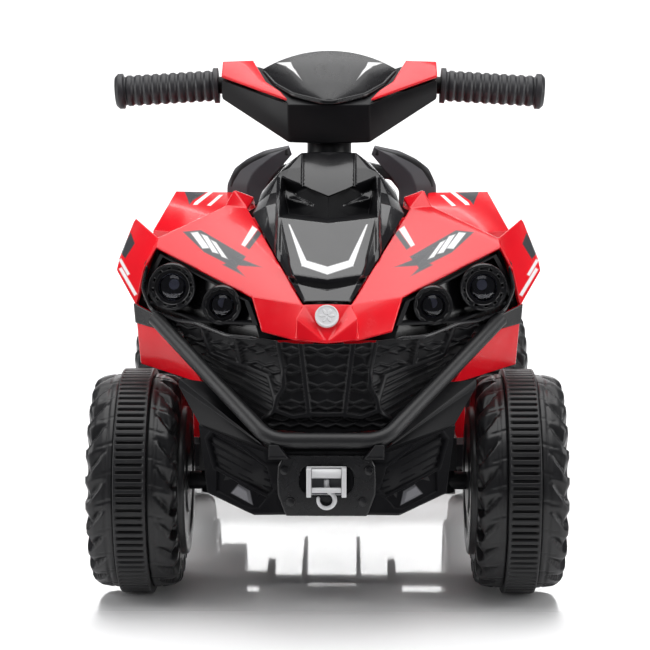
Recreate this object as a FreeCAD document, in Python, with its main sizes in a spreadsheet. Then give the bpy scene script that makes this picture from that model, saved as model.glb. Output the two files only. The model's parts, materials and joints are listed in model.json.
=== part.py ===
import FreeCAD, Part
import math
import os

import Sketcher
from FreeCAD import Placement, Rotation, Vector

# Kids quad bike, in millimetres. +Z is up, the front faces -Y, and the rider's left is +X.
# The origin lies on the floor, below the middle of the bike.

doc = FreeCAD.newDocument("QuadBike")

SIZES = {
    # layout
    "front_overhang": 150.0,
    "wheelbase": 400.0,
    "rear_overhang": 130.0,
    "track_width": 337.0,
    # fits
    "running_gap": 0.1,
    "piece_gap": 0.3,
    "slot_gap": 0.4,
    "cut_overrun": 5.0,
    # wheels
    "wheel_diameter": 200.0,
    "tyre_width": 78.0,
    "tyre_wall": 2.8,
    "tread_diameter": 191.0,
    "crown_diameter": 188.0,
    "crown_setin": 11.0,
    "shoulder_diameter": 176.0,
    "shoulder_setin": 3.0,
    "groove_width": 7.0,
    "groove_depth": 5.0,
    "groove_lean": 24.0,
    "band_width": 28.0,
    "band_thickness": 6.0,
    "band_rib_depth": 2.0,
    "rim_diameter": 132.0,
    "rim_proud": 5.5,
    "cap_opening": 124.0,
    "cap_setin": 2.0,
    "cap_wall": 3.0,
    "cap_dome_diameter": 40.0,
    "cap_dome_proud": 3.0,
    "cap_spigot_wall": 2.5,
    "cap_spigot_grip": 8.0,
    "hub_diameter": 30.0,
    "hub_setin": 16.0,
    "axle_diameter": 10.0,
    "axle_end_setin": 6.0,
    "axle_nut_width": 16.0,
    "axle_nut_height": 7.0,
    # front axle and steering
    "king_pin_setin": 64.5,
    "king_pin_diameter": 8.0,
    "king_nut_width": 13.0,
    "king_nut_height": 6.0,
    "knuckle_diameter": 18.0,
    "knuckle_drop": 10.0,
    "stub_collar_diameter": 16.0,
    "arm_length": 32.0,
    "arm_width": 14.0,
    "arm_thickness": 6.0,
    "steering_pin_diameter": 6.0,
    "steering_pin_tail": 2.0,
    "tie_rod_floor": 83.0,
    "tie_rod_thickness": 4.0,
    "tie_rod_width": 26.0,
    "tie_rod_end": 11.0,
    "slot_travel": 3.0,
    "crank_radius": 30.0,
    "crank_width": 14.0,
    "crank_thickness": 5.0,
    "crank_lift": 19.0,
    "column_tilt": 20.4,
    "column_diameter": 12.0,
    "carrier_floor": 112.0,
    "carrier_height": 30.0,
    "carrier_depth": 32.0,
    "carrier_end": 10.0,
    "carrier_block_width": 60.0,
    "carrier_block_reach": 40.0,
    "column_housing_diameter": 28.0,
    "column_housing_wall": 4.0,
    "column_housing_lift": 8.0,
    "bush_length": 40.0,
    "neck_diameter": 41.0,
    "neck_length": 50.0,
    # handlebar
    "bar_rise": 84.0,
    "bar_diameter": 16.0,
    "bar_half_length": 196.0,
    "bar_droop": 3.5,
    "grip_start": 104.0,
    "grip_length": 97.0,
    "grip_diameter": 26.4,
    "grip_rib_height": 1.3,
    "grip_flange_diameter": 33.0,
    "grip_flange_width": 4.5,
    "grip_end_wall": 4.7,
    "grip_end_diameter": 27.0,
    # console on the handlebar
    "console_half_span": 100.0,
    "console_reach": 62.0,
    "console_depth": 100.0,
    "console_drop": 64.0,
    "console_height": 100.0,
    "console_wall": 3.0,
    "dash_width": 92.0,
    "dash_height": 34.0,
    "dash_thickness": 4.0,
    "dash_tilt": 52.0,
    "dash_setback": 18.0,
    "dash_rise": 8.0,
    "button_diameter": 11.0,
    "button_height": 10.0,
    "button_proud": 3.5,
    "button_spread": 24.0,
    "button_head_diameter": 15.0,
    "button_head_height": 2.0,
    "rocker_width": 12.0,
    "rocker_length": 18.0,
    "rocker_height": 9.0,
    "rocker_barrel_diameter": 8.0,
    "rocker_spread": 62.0,
    # front body
    "nose_setback": 30.0,
    "front_span": 200.0,
    "front_length": 250.0,
    "front_height": 400.0,
    "body_wall": 3.0,
    "lens_barrel_depth": 34.0,
    "lens_floor": 6.0,
    "outer_barrel_diameter": 37.0,
    "inner_barrel_diameter": 31.0,
    "outer_lens_diameter": 24.0,
    "inner_lens_diameter": 21.0,
    "lens_depth": 9.0,
    "lens_setin": 3.0,
    "led_diameter": 9.0,
    "led_height": 8.0,
    "pod_depth": 30.0,
    "badge_diameter": 20.0,
    "badge_thickness": 2.5,
    # bumper and winch
    "bumper_tube_diameter": 13.0,
    "bumper_bend_radius": 30.0,
    "bracket_width": 60.0,
    "bracket_height": 26.0,
    "lamp_bar_half_width": 81.0,
    "lamp_bar_height": 11.0,
    "lamp_bar_thickness": 4.0,
    "lamp_stem_width": 20.0,
    "plate_half_width": 41.0,
    "plate_floor": 100.0,
    "plate_height": 51.0,
    "plate_thickness": 5.0,
    "plate_corner": 9.0,
    "bolt_head_diameter": 7.0,
    "bolt_head_height": 2.5,
    "fairlead_half_width": 16.5,
    "fairlead_floor": 118.5,
    "fairlead_height": 24.0,
    "fairlead_depth": 12.7,
    "fairlead_back": 3.0,
    "fairlead_post": 4.0,
    "upper_roller_diameter": 8.0,
    "lower_roller_diameter": 4.4,
    "hook_ring_diameter": 13.8,
    "hook_wire_diameter": 4.8,
    "hook_shank_diameter": 4.0,
    "hook_shank_length": 11.4,
    # chassis
    "tub_half_width": 75.0,
    "tub_setback": 50.0,
    "tub_rear_setin": 105.0,
    "tub_floor": 78.0,
    "tub_top": 112.0,
    "tub_wall": 4.0,
    "tongue_half_width": 40.0,
    "footboard_half_span": 150.0,
    "footboard_setback": 136.0,
    "footboard_rear_setin": 110.0,
    "footboard_floor": 83.0,
    "footboard_top": 105.0,
    "spine_half_width": 32.0,
    "spine_height": 62.0,
    "axle_plate_setin": 32.0,
    "axle_plate_thickness": 8.0,
    "axle_plate_depth": 40.0,
    "rear_spacer_diameter": 16.0,
    "battery_width": 70.0,
    "battery_length": 106.0,
    "battery_height": 98.0,
    "battery_setback": 100.0,
    # gearbox
    "gearbox_side_gap": 3.0,
    "gearbox_outer_depth": 17.0,
    "gearbox_inner_depth": 10.0,
    "gearbox_reach": 80.0,
    "gearbox_half_height": 42.0,
    "gearbox_wall": 2.5,
    "fine_module": 1.0,
    "coarse_module": 1.5,
    "tooth_play": 0.35,
    "train_angle": 15.0,
    "drive_angle": 20.0,
    "flank_angle": 20.0,
    "coarse_face": 8.0,
    "fine_face": 6.0,
    "gear_side_gap": 1.5,
    "output_collar_diameter": 28.0,
    "gear_pin_diameter": 4.0,
    "motor_diameter": 28.0,
    "motor_length": 38.0,
    "motor_shaft_diameter": 3.2,
    "motor_shaft_tail": 6.0,
    "gear_boss_diameter": 18.0,
    # pedal
    "pedal_width": 48.0,
    "pedal_length": 66.0,
    "pedal_thickness": 6.0,
    "pedal_rise": 10.0,
    "pedal_axis_offset": 112.0,
    "pedal_axis_setback": 80.0,
    "pedal_axis_lift": 13.0,
    "pedal_barrel_diameter": 9.0,
    "pedal_pin_diameter": 4.0,
    "pedal_lug_thickness": 5.0,
    "pedal_lug_depth": 12.0,
    # seat, backrest and rear body
    "core_wall": 3.0,
    "core_span": 100.0,
    "core_setback": 70.0,
    "core_rear_setin": 80.0,
    "core_height": 300.0,
    "seat_setback": 116.0,
    "seat_rear_setin": 15.0,
    "seat_half_width": 88.0,
    "seat_height": 40.0,
    "rear_body_setin": 104.0,
    "rear_span": 200.0,
    "rear_height": 400.0,
    "backrest_setback": 98.0,
    "backrest_thickness": 26.0,
    "backrest_height": 75.0,
    "socket_bore": 5.5,
    "socket_bore_depth": 10.0,
    "socket_diameter": 13.0,
    "socket_flange_diameter": 20.0,
    "socket_flange_thickness": 2.5,
    "socket_length": 16.0,
    "socket_setback": 182.0,
    "socket_z": 145.0,
}

sheet = doc.addObject("Spreadsheet::Sheet", "Sizes")
for row, (alias, value) in enumerate(SIZES.items(), start=1):
    sheet.set(f"A{row}", alias)
    sheet.set(f"B{row}", str(value))
    sheet.setAlias(f"B{row}", alias)
doc.recompute()


class Size:
    """A length or an angle worked out from the sheet: its expression and its present value."""

    def __init__(self, text, value):
        self.text = text
        self.value = value

    def __add__(self, other):
        other = as_size(other)
        return Size(f"({self.text} + {other.text})", self.value + other.value)

    def __sub__(self, other):
        other = as_size(other)
        return Size(f"({self.text} - {other.text})", self.value - other.value)

    def __mul__(self, other):
        other = as_size(other)
        return Size(f"({self.text} * {other.text})", self.value * other.value)

    def __truediv__(self, other):
        other = as_size(other)
        return Size(f"({self.text} / {other.text})", self.value / other.value)

    def __neg__(self):
        return Size(f"(0 - {self.text})", -self.value)

    __radd__ = __add__
    __rmul__ = __mul__


def as_size(number):
    """Wrap a bare share or count, so that it can stand in a sum of sizes."""
    return number if isinstance(number, Size) else Size(repr(float(number)), float(number))


def size(alias):
    return Size("Sizes." + alias, float(sheet.get(alias)))


def sine(angle):
    return Size(f"sin({angle.text})", math.sin(math.radians(angle.value)))


def cosine(angle):
    return Size(f"cos({angle.text})", math.cos(math.radians(angle.value)))


ZERO = as_size(0)
NODES = []


def node(item):
    """List a finished sub-part, so that it gets a file of its own."""
    NODES.append(item)
    return item


def bind(item, **properties):
    """Tie properties to expressions on the sheet."""
    for name, amount in properties.items():
        item.setExpression(name, as_size(amount).text)


def place(item, x=ZERO, y=ZERO, z=ZERO, axis=None, angle=None):
    """Put a sub-part at a point, turned about an axis through that point."""
    if axis is not None:
        item.Placement = Placement(Vector(), Rotation(axis, as_size(angle).value))
        if isinstance(angle, Size):
            item.setExpression("Placement.Rotation.Angle", angle.text)
    for letter, amount in zip("xyz", (x, y, z)):
        item.setExpression("Placement.Base." + letter, as_size(amount).text)
    return item


ALONG_X = {"axis": Vector(0, 1, 0), "angle": 90}
ALONG_Y = {"axis": Vector(-1, 0, 0), "angle": 90}


def box(name, x, y, z):
    """A block between pairs of places along x, y and z."""
    item = doc.addObject("Part::Box", name)
    bind(item, Length=x[1] - x[0], Width=y[1] - y[0], Height=z[1] - z[0])
    return place(item, x[0], y[0], z[0])


def cylinder(name, diameter, length, x=ZERO, y=ZERO, z=ZERO, axis=None, angle=None):
    item = doc.addObject("Part::Cylinder", name)
    bind(item, Radius=diameter / 2, Height=length)
    return place(item, x, y, z, axis, angle)


def hexagon(name, width, height, **where):
    """A nut blank: its width is across the flats."""
    item = doc.addObject("Part::Prism", name)
    item.Polygon = 6
    bind(item, Circumradius=width / 2 / cosine(as_size(30)), Height=height)
    return place(item, **where)


def fuse(name, *items):
    item = doc.addObject("Part::MultiFuse", name)
    item.Shapes = list(items)
    return item


def cut(name, base, *tools):
    item = doc.addObject("Part::Cut", name)
    item.Base = base
    item.Tool = tools[0] if len(tools) == 1 else fuse(name + "_tools", *tools)
    return item


def group(name, *items):
    """Several separate solids in one sub-part."""
    item = doc.addObject("Part::Compound", name)
    item.Links = list(items)
    return item


def mirrored(name, source):
    """The same piece for the other side of the bike."""
    item = doc.addObject("Part::Mirroring", name)
    item.Source = source
    item.Normal = Vector(1, 0, 0)
    return item


def moved(name, source, **where):
    """A copy of a piece at another place."""
    return place(group(name, source), **where)


def feature(name, shape):
    """A sub-part whose form is worked out below from sheet values."""
    item = doc.addObject("Part::Feature", name)
    item.Shape = shape
    return item


def new_body(name):
    return doc.addObject("PartDesign::Body", name)


def new_sketch(body, name, role):
    sketch = body.newObject("Sketcher::SketchObject", name)
    plane = [part for part in body.Origin.OriginFeatures if part.Role == role][0]
    sketch.AttachmentSupport = [(plane, "")]
    sketch.MapMode = "FlatFace"
    return sketch


def hold(sketch, kind, geometry, point, amount):
    """Fix one coordinate of a sketch point to an expression."""
    constraint = Sketcher.Constraint(kind, -1, 1, geometry, point, amount.value)
    index = sketch.addConstraint(constraint)
    sketch.setExpression(f"Constraints[{index}]", amount.text)


def draw(sketch, points):
    """A closed outline of straight lines, each corner held by the sheet."""
    corners = [(as_size(a), as_size(b)) for a, b in points]
    spots = [Vector(a.value, b.value, 0) for a, b in corners]
    first = sketch.GeometryCount
    count = len(spots)
    for start, end in zip(spots, spots[1:] + spots[:1]):
        sketch.addGeometry(Part.LineSegment(start, end), False)
    for step in range(count):
        line, following = first + step, first + (step + 1) % count
        sketch.addConstraint(Sketcher.Constraint("Coincident", line, 2, following, 1))
    for step, (a, b) in enumerate(corners):
        hold(sketch, "DistanceX", first + step, 1, a)
        hold(sketch, "DistanceY", first + step, 1, b)


def pad(name, role, points, length, midplane=False, turned=False):
    """A body drawn on an origin plane and raised to a length."""
    body = new_body(name)
    sketch = new_sketch(body, name + "_outline", role)
    draw(sketch, points)
    raised = body.newObject("PartDesign::Pad", name + "_pad")
    raised.Profile = sketch
    raised.Midplane = midplane
    raised.Reversed = turned
    bind(raised, Length=length)
    return body


def turned_about_x(name, points):
    """A body of revolution about its own X axis: points are (along the axis, radius)."""
    body = new_body(name)
    sketch = new_sketch(body, name + "_profile", "XZ_Plane")
    draw(sketch, points)
    turned = body.newObject("PartDesign::Revolution", name + "_turn")
    turned.Profile = sketch
    turned.ReferenceAxis = (sketch, ["H_Axis"])
    turned.Angle = 360
    return body


def solid_of(triangles):
    """A closed solid from triangles whose corners run anticlockwise seen from outside."""
    faces = [Part.Face(Part.makePolygon([a, b, c, a])) for a, b, c in triangles]
    solid = Part.makeSolid(Part.makeShell(faces))
    if solid.Volume < 0:
        solid.reverse()
    return solid


def fan(names):
    return [(names[0], names[i], names[i + 1]) for i in range(1, len(names) - 1)]


def both_sides(points, facets):
    """Complete a half, drawn for x of zero and up, with its mirror image."""
    whole = dict(points)
    for name, spot in points.items():
        if spot.x > 0:
            whole[name + "_right"] = Vector(-spot.x, spot.y, spot.z)
    other = []
    for facet in facets:
        turned = facet[:1] + facet[:0:-1]
        other.append(tuple(name + "_right" if points[name].x > 0 else name for name in turned))
    return whole, list(facets) + other


def normal_of(spots):
    """The unit normal of a facet, from the sum of its corner products."""
    total = Vector()
    for here, after in zip(spots, spots[1:] + spots[:1]):
        total = total + here.cross(after)
    return total.normalize()


def shell_of(points, facets, wall):
    """A moulded panel: facets of an outer skin, and an inner skin one wall behind it."""
    lean = {name: [] for name in points}
    for facet in facets:
        normal = normal_of([points[name] for name in facet])
        for name in facet:
            lean[name].append(normal)
    inner = {}
    for name, normals in lean.items():
        if normals:
            mean = Vector()
            for normal in normals:
                mean = mean + normal / len(normals)
            squared = max(mean.dot(mean), STEEPEST_SHARE)
            inner[name] = points[name] - mean * (wall / squared)
    triangles = []
    edges = set()
    for facet in facets:
        edges.update(zip(facet, facet[1:] + facet[:1]))
        for a, b, c in fan(facet):
            triangles.append((points[a], points[b], points[c]))
            triangles.append((inner[a], inner[c], inner[b]))
    for a, b in sorted(edges):
        if (b, a) not in edges:
            triangles.append((points[b], points[a], inner[a]))
            triangles.append((points[b], inner[a], inner[b]))
    return solid_of(triangles)


STEEPEST_SHARE = 0.4


def spread(table, origin, spans):
    """Turn a table of shares into points."""
    place_of = {}
    for name, shares in table.items():
        steps = [share * span.value for share, span in zip(shares, spans)]
        place_of[name] = Vector(*(o.value + s for o, s in zip(origin, steps)))
    return place_of


def rows_to_facets(rows):
    """Four-cornered facets between neighbouring rows of points."""
    facets = []
    for row, following in zip(rows, rows[1:]):
        for i in range(len(row) - 1):
            facets.append((row[i], row[i + 1], following[i + 1], following[i]))
    return facets


# Places that many pieces share.
half_length = (size("front_overhang") + size("wheelbase") + size("rear_overhang")) / 2
front_axle_y = size("front_overhang") - half_length
rear_axle_y = front_axle_y + size("wheelbase")
axle_z = size("wheel_diameter") / 2
half_track = size("track_width") / 2
gap = size("piece_gap")
overrun = size("cut_overrun")

# Wheels: a hollow moulded tyre with slanted tread grooves, a ribbed traction band and a hubcap.
TREAD_BLOCKS = 16
BAND_RIBS = 96
RIB_TOP_SHARE = 0.55

tyre_half = size("tyre_width") / 2
wall = size("tyre_wall")
bore_radius = size("axle_diameter") / 2 + size("running_gap")
rim_radius = size("rim_diameter") / 2
opening_radius = size("cap_opening") / 2
shoulder_radius = size("shoulder_diameter") / 2
crown_radius = size("crown_diameter") / 2
tread_radius = size("tread_diameter") / 2
seat_radius = axle_z - size("band_thickness")
seat_half = size("band_width") / 2 + gap
inner_radius = seat_radius - size("groove_depth") - wall
hub_radius = size("hub_diameter") / 2
hub_end = tyre_half - size("hub_setin")
disc_face = tyre_half + size("rim_proud")
shoulder_x = tyre_half - size("shoulder_setin")
crown_x = tyre_half - size("crown_setin")


def make_tyre(name):
    """The tyre lies about its own X axis; +X is its outer side."""
    body = turned_about_x(name, [
        (-disc_face, bore_radius), (-disc_face, rim_radius), (-tyre_half, rim_radius),
        (-shoulder_x, shoulder_radius), (-crown_x, crown_radius), (-seat_half, tread_radius),
        (-seat_half, seat_radius), (seat_half, seat_radius), (seat_half, tread_radius),
        (crown_x, crown_radius), (shoulder_x, shoulder_radius), (tyre_half, rim_radius),
        (tyre_half, opening_radius), (tyre_half - wall, opening_radius),
        (shoulder_x - wall, inner_radius), (wall - shoulder_x, inner_radius),
        (wall - tyre_half, rim_radius - wall), (wall - disc_face, rim_radius - wall),
        (wall - disc_face, hub_radius), (hub_end, hub_radius), (hub_end, bore_radius),
    ])
    doc.recompute()
    sketch = new_sketch(body, name + "_groove", "XY_Plane")
    sketch.setExpression("AttachmentOffset.Base.z", axle_z.text)
    lean = size("groove_lean")
    start = seat_half + wall
    end = tyre_half + overrun
    rise = (end - start) * sine(lean) / cosine(lean)
    half = size("groove_width") / 2
    draw(sketch, [(start, -half), (end, rise - half), (end, rise + half), (start, half)])
    draw(sketch, [(-start, -half), (-start, half), (-end, rise + half), (-end, rise - half)])
    grooves = body.newObject("PartDesign::Pocket", name + "_grooves")
    grooves.Profile = sketch
    bind(grooves, Length=axle_z - tread_radius + size("groove_depth"))
    ring = body.newObject("PartDesign::PolarPattern", name + "_tread")
    ring.Originals = [grooves]
    axis = [part for part in body.Origin.OriginFeatures if part.Role == "X_Axis"][0]
    ring.Axis = (axis, [""])
    ring.Angle = 360
    ring.Occurrences = TREAD_BLOCKS
    body.Tip = ring
    return body


def band_shape():
    """The traction band: a ring with flat ribs across it, one rib standing on the floor."""
    radius = axle_z.value
    valley = radius - size("band_rib_depth").value
    pitch = 2 * math.pi / BAND_RIBS
    spots = []
    for rib in range(BAND_RIBS):
        middle = rib * pitch - math.pi / 2
        for share, reach in ((-RIB_TOP_SHARE, radius), (RIB_TOP_SHARE, radius),
                             (1 - RIB_TOP_SHARE / 2, valley), (1 + RIB_TOP_SHARE / 2, valley)):
            turn = middle + share * pitch / 2
            spots.append(Vector(0, reach * math.cos(turn), reach * math.sin(turn)))
    width = size("band_width").value
    start = Vector(-width / 2, 0, 0)
    outer = Part.Face(Part.makePolygon(spots + spots[:1])).extrude(Vector(width, 0, 0))
    outer.translate(start)
    return outer.cut(Part.makeCylinder(seat_radius.value, width, start, Vector(1, 0, 0)))


def make_hubcap(name):
    """A dished cover with a dome over the axle nut and a spigot round the hub."""
    face = tyre_half - size("cap_setin")
    back = face - size("cap_wall")
    dome = face + size("cap_dome_proud")
    edge = opening_radius - gap
    dome_radius = size("cap_dome_diameter") / 2
    inside = hub_radius + gap
    tail = hub_end - size("cap_spigot_grip")
    return turned_about_x(name, [
        (back, edge), (face, edge), (face, dome_radius + size("cap_dome_proud")), (dome, dome_radius),
        (dome, ZERO), (dome - size("cap_wall"), ZERO), (dome - size("cap_wall"), inside), (tail, inside),
        (tail, inside + size("cap_spigot_wall")), (back, inside + size("cap_spigot_wall")),
    ])


tyre_blank = make_tyre("tyre_blank")
band_blank = feature("band_blank", band_shape())
cap_blank = make_hubcap("cap_blank")
for piece, blank in (("tyre", tyre_blank), ("traction_band", band_blank), ("hubcap", cap_blank)):
    flipped = mirrored(piece + "_blank_right", blank)
    for end, y in (("front", front_axle_y), ("rear", rear_axle_y)):
        node(moved(f"{end}_left_{piece}", blank, x=half_track, y=y, z=axle_z))
        node(moved(f"{end}_right_{piece}", flipped, x=-half_track, y=y, z=axle_z))

# Front axle: a cross carrier, two knuckles on king pins, and the tie rod behind the axle.
king_x = half_track - size("king_pin_setin")
disc_x = half_track - disc_face
axle_end_x = half_track + tyre_half - size("axle_end_setin")
nut_x = half_track + hub_end + gap
carrier_top = size("carrier_floor") + size("carrier_height")
carrier_front = front_axle_y - size("carrier_depth") / 2
carrier_rear = front_axle_y + size("carrier_depth") / 2
block_rear = front_axle_y + size("carrier_block_reach")
arm_floor = axle_z - size("knuckle_drop")
tie_mid = size("tie_rod_floor") + size("tie_rod_thickness") / 2
tilt = size("column_tilt")


def on_column(along):
    """A point on the steering axis, this far above the tie rod's mid plane along the axis."""
    return {"y": front_axle_y + along * sine(tilt), "z": tie_mid + along * cosine(tilt)}


TILTED = {"axis": Vector(-1, 0, 0), "angle": tilt}


def make_knuckle(name):
    """King pin, boss, stub axle, collar, steering arm and its pin: one forging, on the left side."""
    pin_floor = size("tie_rod_floor") - size("steering_pin_tail")
    arm_y = front_axle_y + size("arm_length")
    half = size("arm_width") / 2
    top = size("carrier_floor") - gap
    boss = cylinder(name + "_boss", size("knuckle_diameter"), top - arm_floor,
                    x=king_x, y=front_axle_y, z=arm_floor)
    king = cylinder(name + "_king", size("king_pin_diameter"),
                    carrier_top + size("king_nut_height") + gap + gap - arm_floor,
                    x=king_x, y=front_axle_y, z=arm_floor)
    stub = cylinder(name + "_stub", size("axle_diameter"), axle_end_x - king_x,
                    x=king_x, y=front_axle_y, z=axle_z, **ALONG_X)
    collar = cylinder(name + "_collar", size("stub_collar_diameter"), disc_x - gap - king_x,
                      x=king_x, y=front_axle_y, z=axle_z, **ALONG_X)
    arm = box(name + "_arm", (king_x - half, king_x + half), (front_axle_y, arm_y + half),
              (arm_floor, arm_floor + size("arm_thickness")))
    pin = cylinder(name + "_pin", size("steering_pin_diameter"), axle_z - pin_floor - size("knuckle_drop"),
                   x=king_x, y=arm_y, z=pin_floor)
    return fuse(name, boss, king, stub, collar, arm, pin)


def make_knuckle_nuts(name):
    axle_nut = hexagon(name + "_axle", size("axle_nut_width"), size("axle_nut_height"),
                       x=nut_x, y=front_axle_y, z=axle_z, **ALONG_X)
    axle_hole = cylinder(name + "_axle_hole", size("axle_diameter"), size("axle_nut_height"),
                         x=nut_x, y=front_axle_y, z=axle_z, **ALONG_X)
    king_nut = hexagon(name + "_king", size("king_nut_width"), size("king_nut_height"),
                       x=king_x, y=front_axle_y, z=carrier_top + gap)
    king_hole = cylinder(name + "_king_hole", size("king_pin_diameter"), size("king_nut_height"),
                         x=king_x, y=front_axle_y, z=carrier_top + gap)
    return group(name, cut(name + "_outer", axle_nut, axle_hole), cut(name + "_upper", king_nut, king_hole))


left_knuckle = node(group("left_knuckle", make_knuckle("knuckle_forging"), make_knuckle_nuts("knuckle_nuts")))
node(mirrored("right_knuckle", left_knuckle))

beam_end = king_x + size("carrier_end")
block_half = size("carrier_block_width") / 2
beam = box("carrier_beam", (-beam_end, beam_end), (carrier_front, carrier_rear),
           (size("carrier_floor"), carrier_top))
block = box("carrier_block", (-block_half, block_half), (carrier_front, block_rear),
            (size("carrier_floor"), carrier_top))
king_bore = size("king_pin_diameter") + size("running_gap") * 2
column_bore = size("column_diameter") + size("running_gap") * 2
left_king_hole = cylinder("left_king_hole", king_bore, size("carrier_height"),
                          x=king_x, y=front_axle_y, z=size("carrier_floor"))
right_king_hole = cylinder("right_king_hole", king_bore, size("carrier_height"),
                           x=-king_x, y=front_axle_y, z=size("carrier_floor"))
NECK_FLOOR_SHARE = 0.925
neck_floor = size("front_height") * NECK_FLOOR_SHARE
bar_z = neck_floor + size("bar_rise")
bar_along = (bar_z - tie_mid) / cosine(tilt)
column_hole = cylinder("column_hole", column_bore, bar_along, **on_column(ZERO), **TILTED)
node(cut("front_carrier", fuse("carrier_blank", beam, block), left_king_hole, right_king_hole, column_hole))


def slot_tool(name, x, y, z, length):
    """A round-ended cutter for a steering pin's slot, long in y."""
    width = size("steering_pin_diameter") + size("slot_gap") * 2
    reach = length / 2
    bottom = z - overrun
    height = size("tie_rod_thickness") + overrun * 2
    middle = box(name + "_middle", (x - width / 2, x + width / 2), (y - reach, y + reach),
                 (bottom, bottom + height))
    ends = [cylinder(name + tag, width, height, x=x, y=y + reach * way, z=bottom)
            for tag, way in (("_front", -1), ("_rear", 1))]
    return fuse(name, middle, *ends)


tie_y = front_axle_y + size("arm_length")
rod_half = size("tie_rod_width") / 2
rod_end = king_x + size("tie_rod_end")
rod = box("tie_rod_bar", (-rod_end, rod_end), (tie_y - rod_half, tie_y + rod_half),
          (size("tie_rod_floor"), size("tie_rod_floor") + size("tie_rod_thickness")))
crank_pin_y = front_axle_y + size("crank_radius") / cosine(tilt)
travel = size("slot_travel")
rod_floor = size("tie_rod_floor")
slots = [slot_tool("left_slot", king_x, tie_y - travel / 2, rod_floor, travel),
         slot_tool("right_slot", -king_x, tie_y - travel / 2, rod_floor, travel),
         slot_tool("middle_slot", ZERO, crank_pin_y - travel / 2, rod_floor, travel * 2)]
node(cut("tie_rod", rod, *slots))

# Steering column with its crank and handlebar: one welded steel piece.
column = cylinder("column_rod", size("column_diameter"), bar_along - size("crank_lift"),
                  **on_column(size("crank_lift")), **TILTED)
crank_half = size("crank_width") / 2
crank = doc.addObject("Part::Box", "column_crank")
bind(crank, Length=size("crank_width"), Width=size("crank_radius") + size("crank_width"),
     Height=size("crank_thickness"))
foot = on_column(size("crank_lift"))
place(crank, -crank_half, foot["y"] - crank_half * cosine(tilt), foot["z"] + crank_half * sine(tilt),
      **TILTED)
pin_drop = size("crank_radius") * sine(tilt)
pin_reach = size("crank_radius") * cosine(tilt)
pin_start = (pin_drop - size("tie_rod_thickness") / 2 - size("steering_pin_tail")) / cosine(tilt)
pin_foot = on_column(pin_start)
crank_pin = cylinder("column_pin", size("steering_pin_diameter"), size("crank_lift") - pin_start,
                     x=ZERO, y=pin_foot["y"] + pin_reach, z=pin_foot["z"] - pin_drop, **TILTED)
bar_y = on_column(bar_along)["y"]
right_angle = as_size(90)
left_bar = cylinder("bar_left", size("bar_diameter"), size("bar_half_length"), y=bar_y, z=bar_z,
                    axis=Vector(0, 1, 0), angle=right_angle + size("bar_droop"))
right_bar = cylinder("bar_right", size("bar_diameter"), size("bar_half_length"), y=bar_y, z=bar_z,
                     axis=Vector(0, -1, 0), angle=right_angle + size("bar_droop"))
node(fuse("steering_column", column, crank, crank_pin, left_bar, right_bar))

# The neck below the console, and the fixed housing that guides the column at its upper end.
neck_along = (neck_floor - tie_mid) / cosine(tilt)
neck_rod = cylinder("neck_rod", size("neck_diameter"), size("neck_length"),
                    **on_column(neck_along + gap * 2), **TILTED)
neck_hole = cylinder("neck_hole", size("column_diameter"), bar_along, **on_column(ZERO), **TILTED)
node(cut("steering_neck", neck_rod, neck_hole))
housing_start = (carrier_top - tie_mid + size("column_housing_lift")) / cosine(tilt)
housing_end = neck_along - size("body_wall") - gap
housing_bore = size("column_housing_diameter") - size("column_housing_wall") * 2
housing_rod = cylinder("housing_rod", size("column_housing_diameter"), housing_end - housing_start,
                       **on_column(housing_start), **TILTED)
housing_hole = cylinder("housing_hole", housing_bore, housing_end - size("bush_length"),
                        **on_column(ZERO), **TILTED)
bush_hole = cylinder("bush_hole", column_bore, bar_along, **on_column(ZERO), **TILTED)
node(cut("column_housing", housing_rod, housing_hole, bush_hole))

# Grips: ribbed sleeves with a flange at each end.
GRIP_RIBS = 10
RIB_RISE_SHARE = 0.22
RIB_WIDTH_SHARE = 0.62
FIRST_RIB_SHARE = 1.5
FLANGE_FALL_SHARE = 1.2
FLANGE_RISE_SHARE = 0.3
FLANGE_END_SHARE = 1.3


def make_grip(name):
    core = size("bar_diameter") / 2 + size("running_gap")
    body_radius = size("grip_diameter") / 2
    rib_radius = body_radius + size("grip_rib_height")
    flange = size("grip_flange_diameter") / 2
    width = size("grip_flange_width")
    length = size("grip_length")
    closed = length - size("grip_end_wall")
    first, last = width * FIRST_RIB_SHARE, length - width * 2
    pitch = (last - first) / GRIP_RIBS
    points = [(ZERO, core), (ZERO, flange), (width, flange), (width * FLANGE_FALL_SHARE, body_radius)]
    for rib in range(GRIP_RIBS):
        start = first + pitch * rib
        points += [(start, body_radius), (start + pitch * RIB_RISE_SHARE, rib_radius),
                   (start + pitch * RIB_WIDTH_SHARE, rib_radius),
                   (start + pitch * (RIB_WIDTH_SHARE + RIB_RISE_SHARE), body_radius)]
    points += [(last, body_radius), (last + width * FLANGE_RISE_SHARE, flange),
               (last + width * FLANGE_END_SHARE, flange),
               (length, size("grip_end_diameter") / 2), (length, ZERO), (closed, ZERO), (closed, core)]
    return turned_about_x(name, points)


grip_blank = make_grip("grip_blank")
droop = size("bar_droop")
left_grip = moved("left_grip", grip_blank, x=size("grip_start") * cosine(droop), y=bar_y,
                  z=bar_z - size("grip_start") * sine(droop), axis=Vector(0, 1, 0), angle=droop)
node(left_grip)
node(mirrored("right_grip", left_grip))

# Console on the handlebar. Its points are shares of half span, depth and height.
console_frame = (ZERO, bar_y - size("console_reach"), bar_z - size("console_drop"))
console_spans = (size("console_half_span"), size("console_depth"), size("console_height"))

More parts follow.
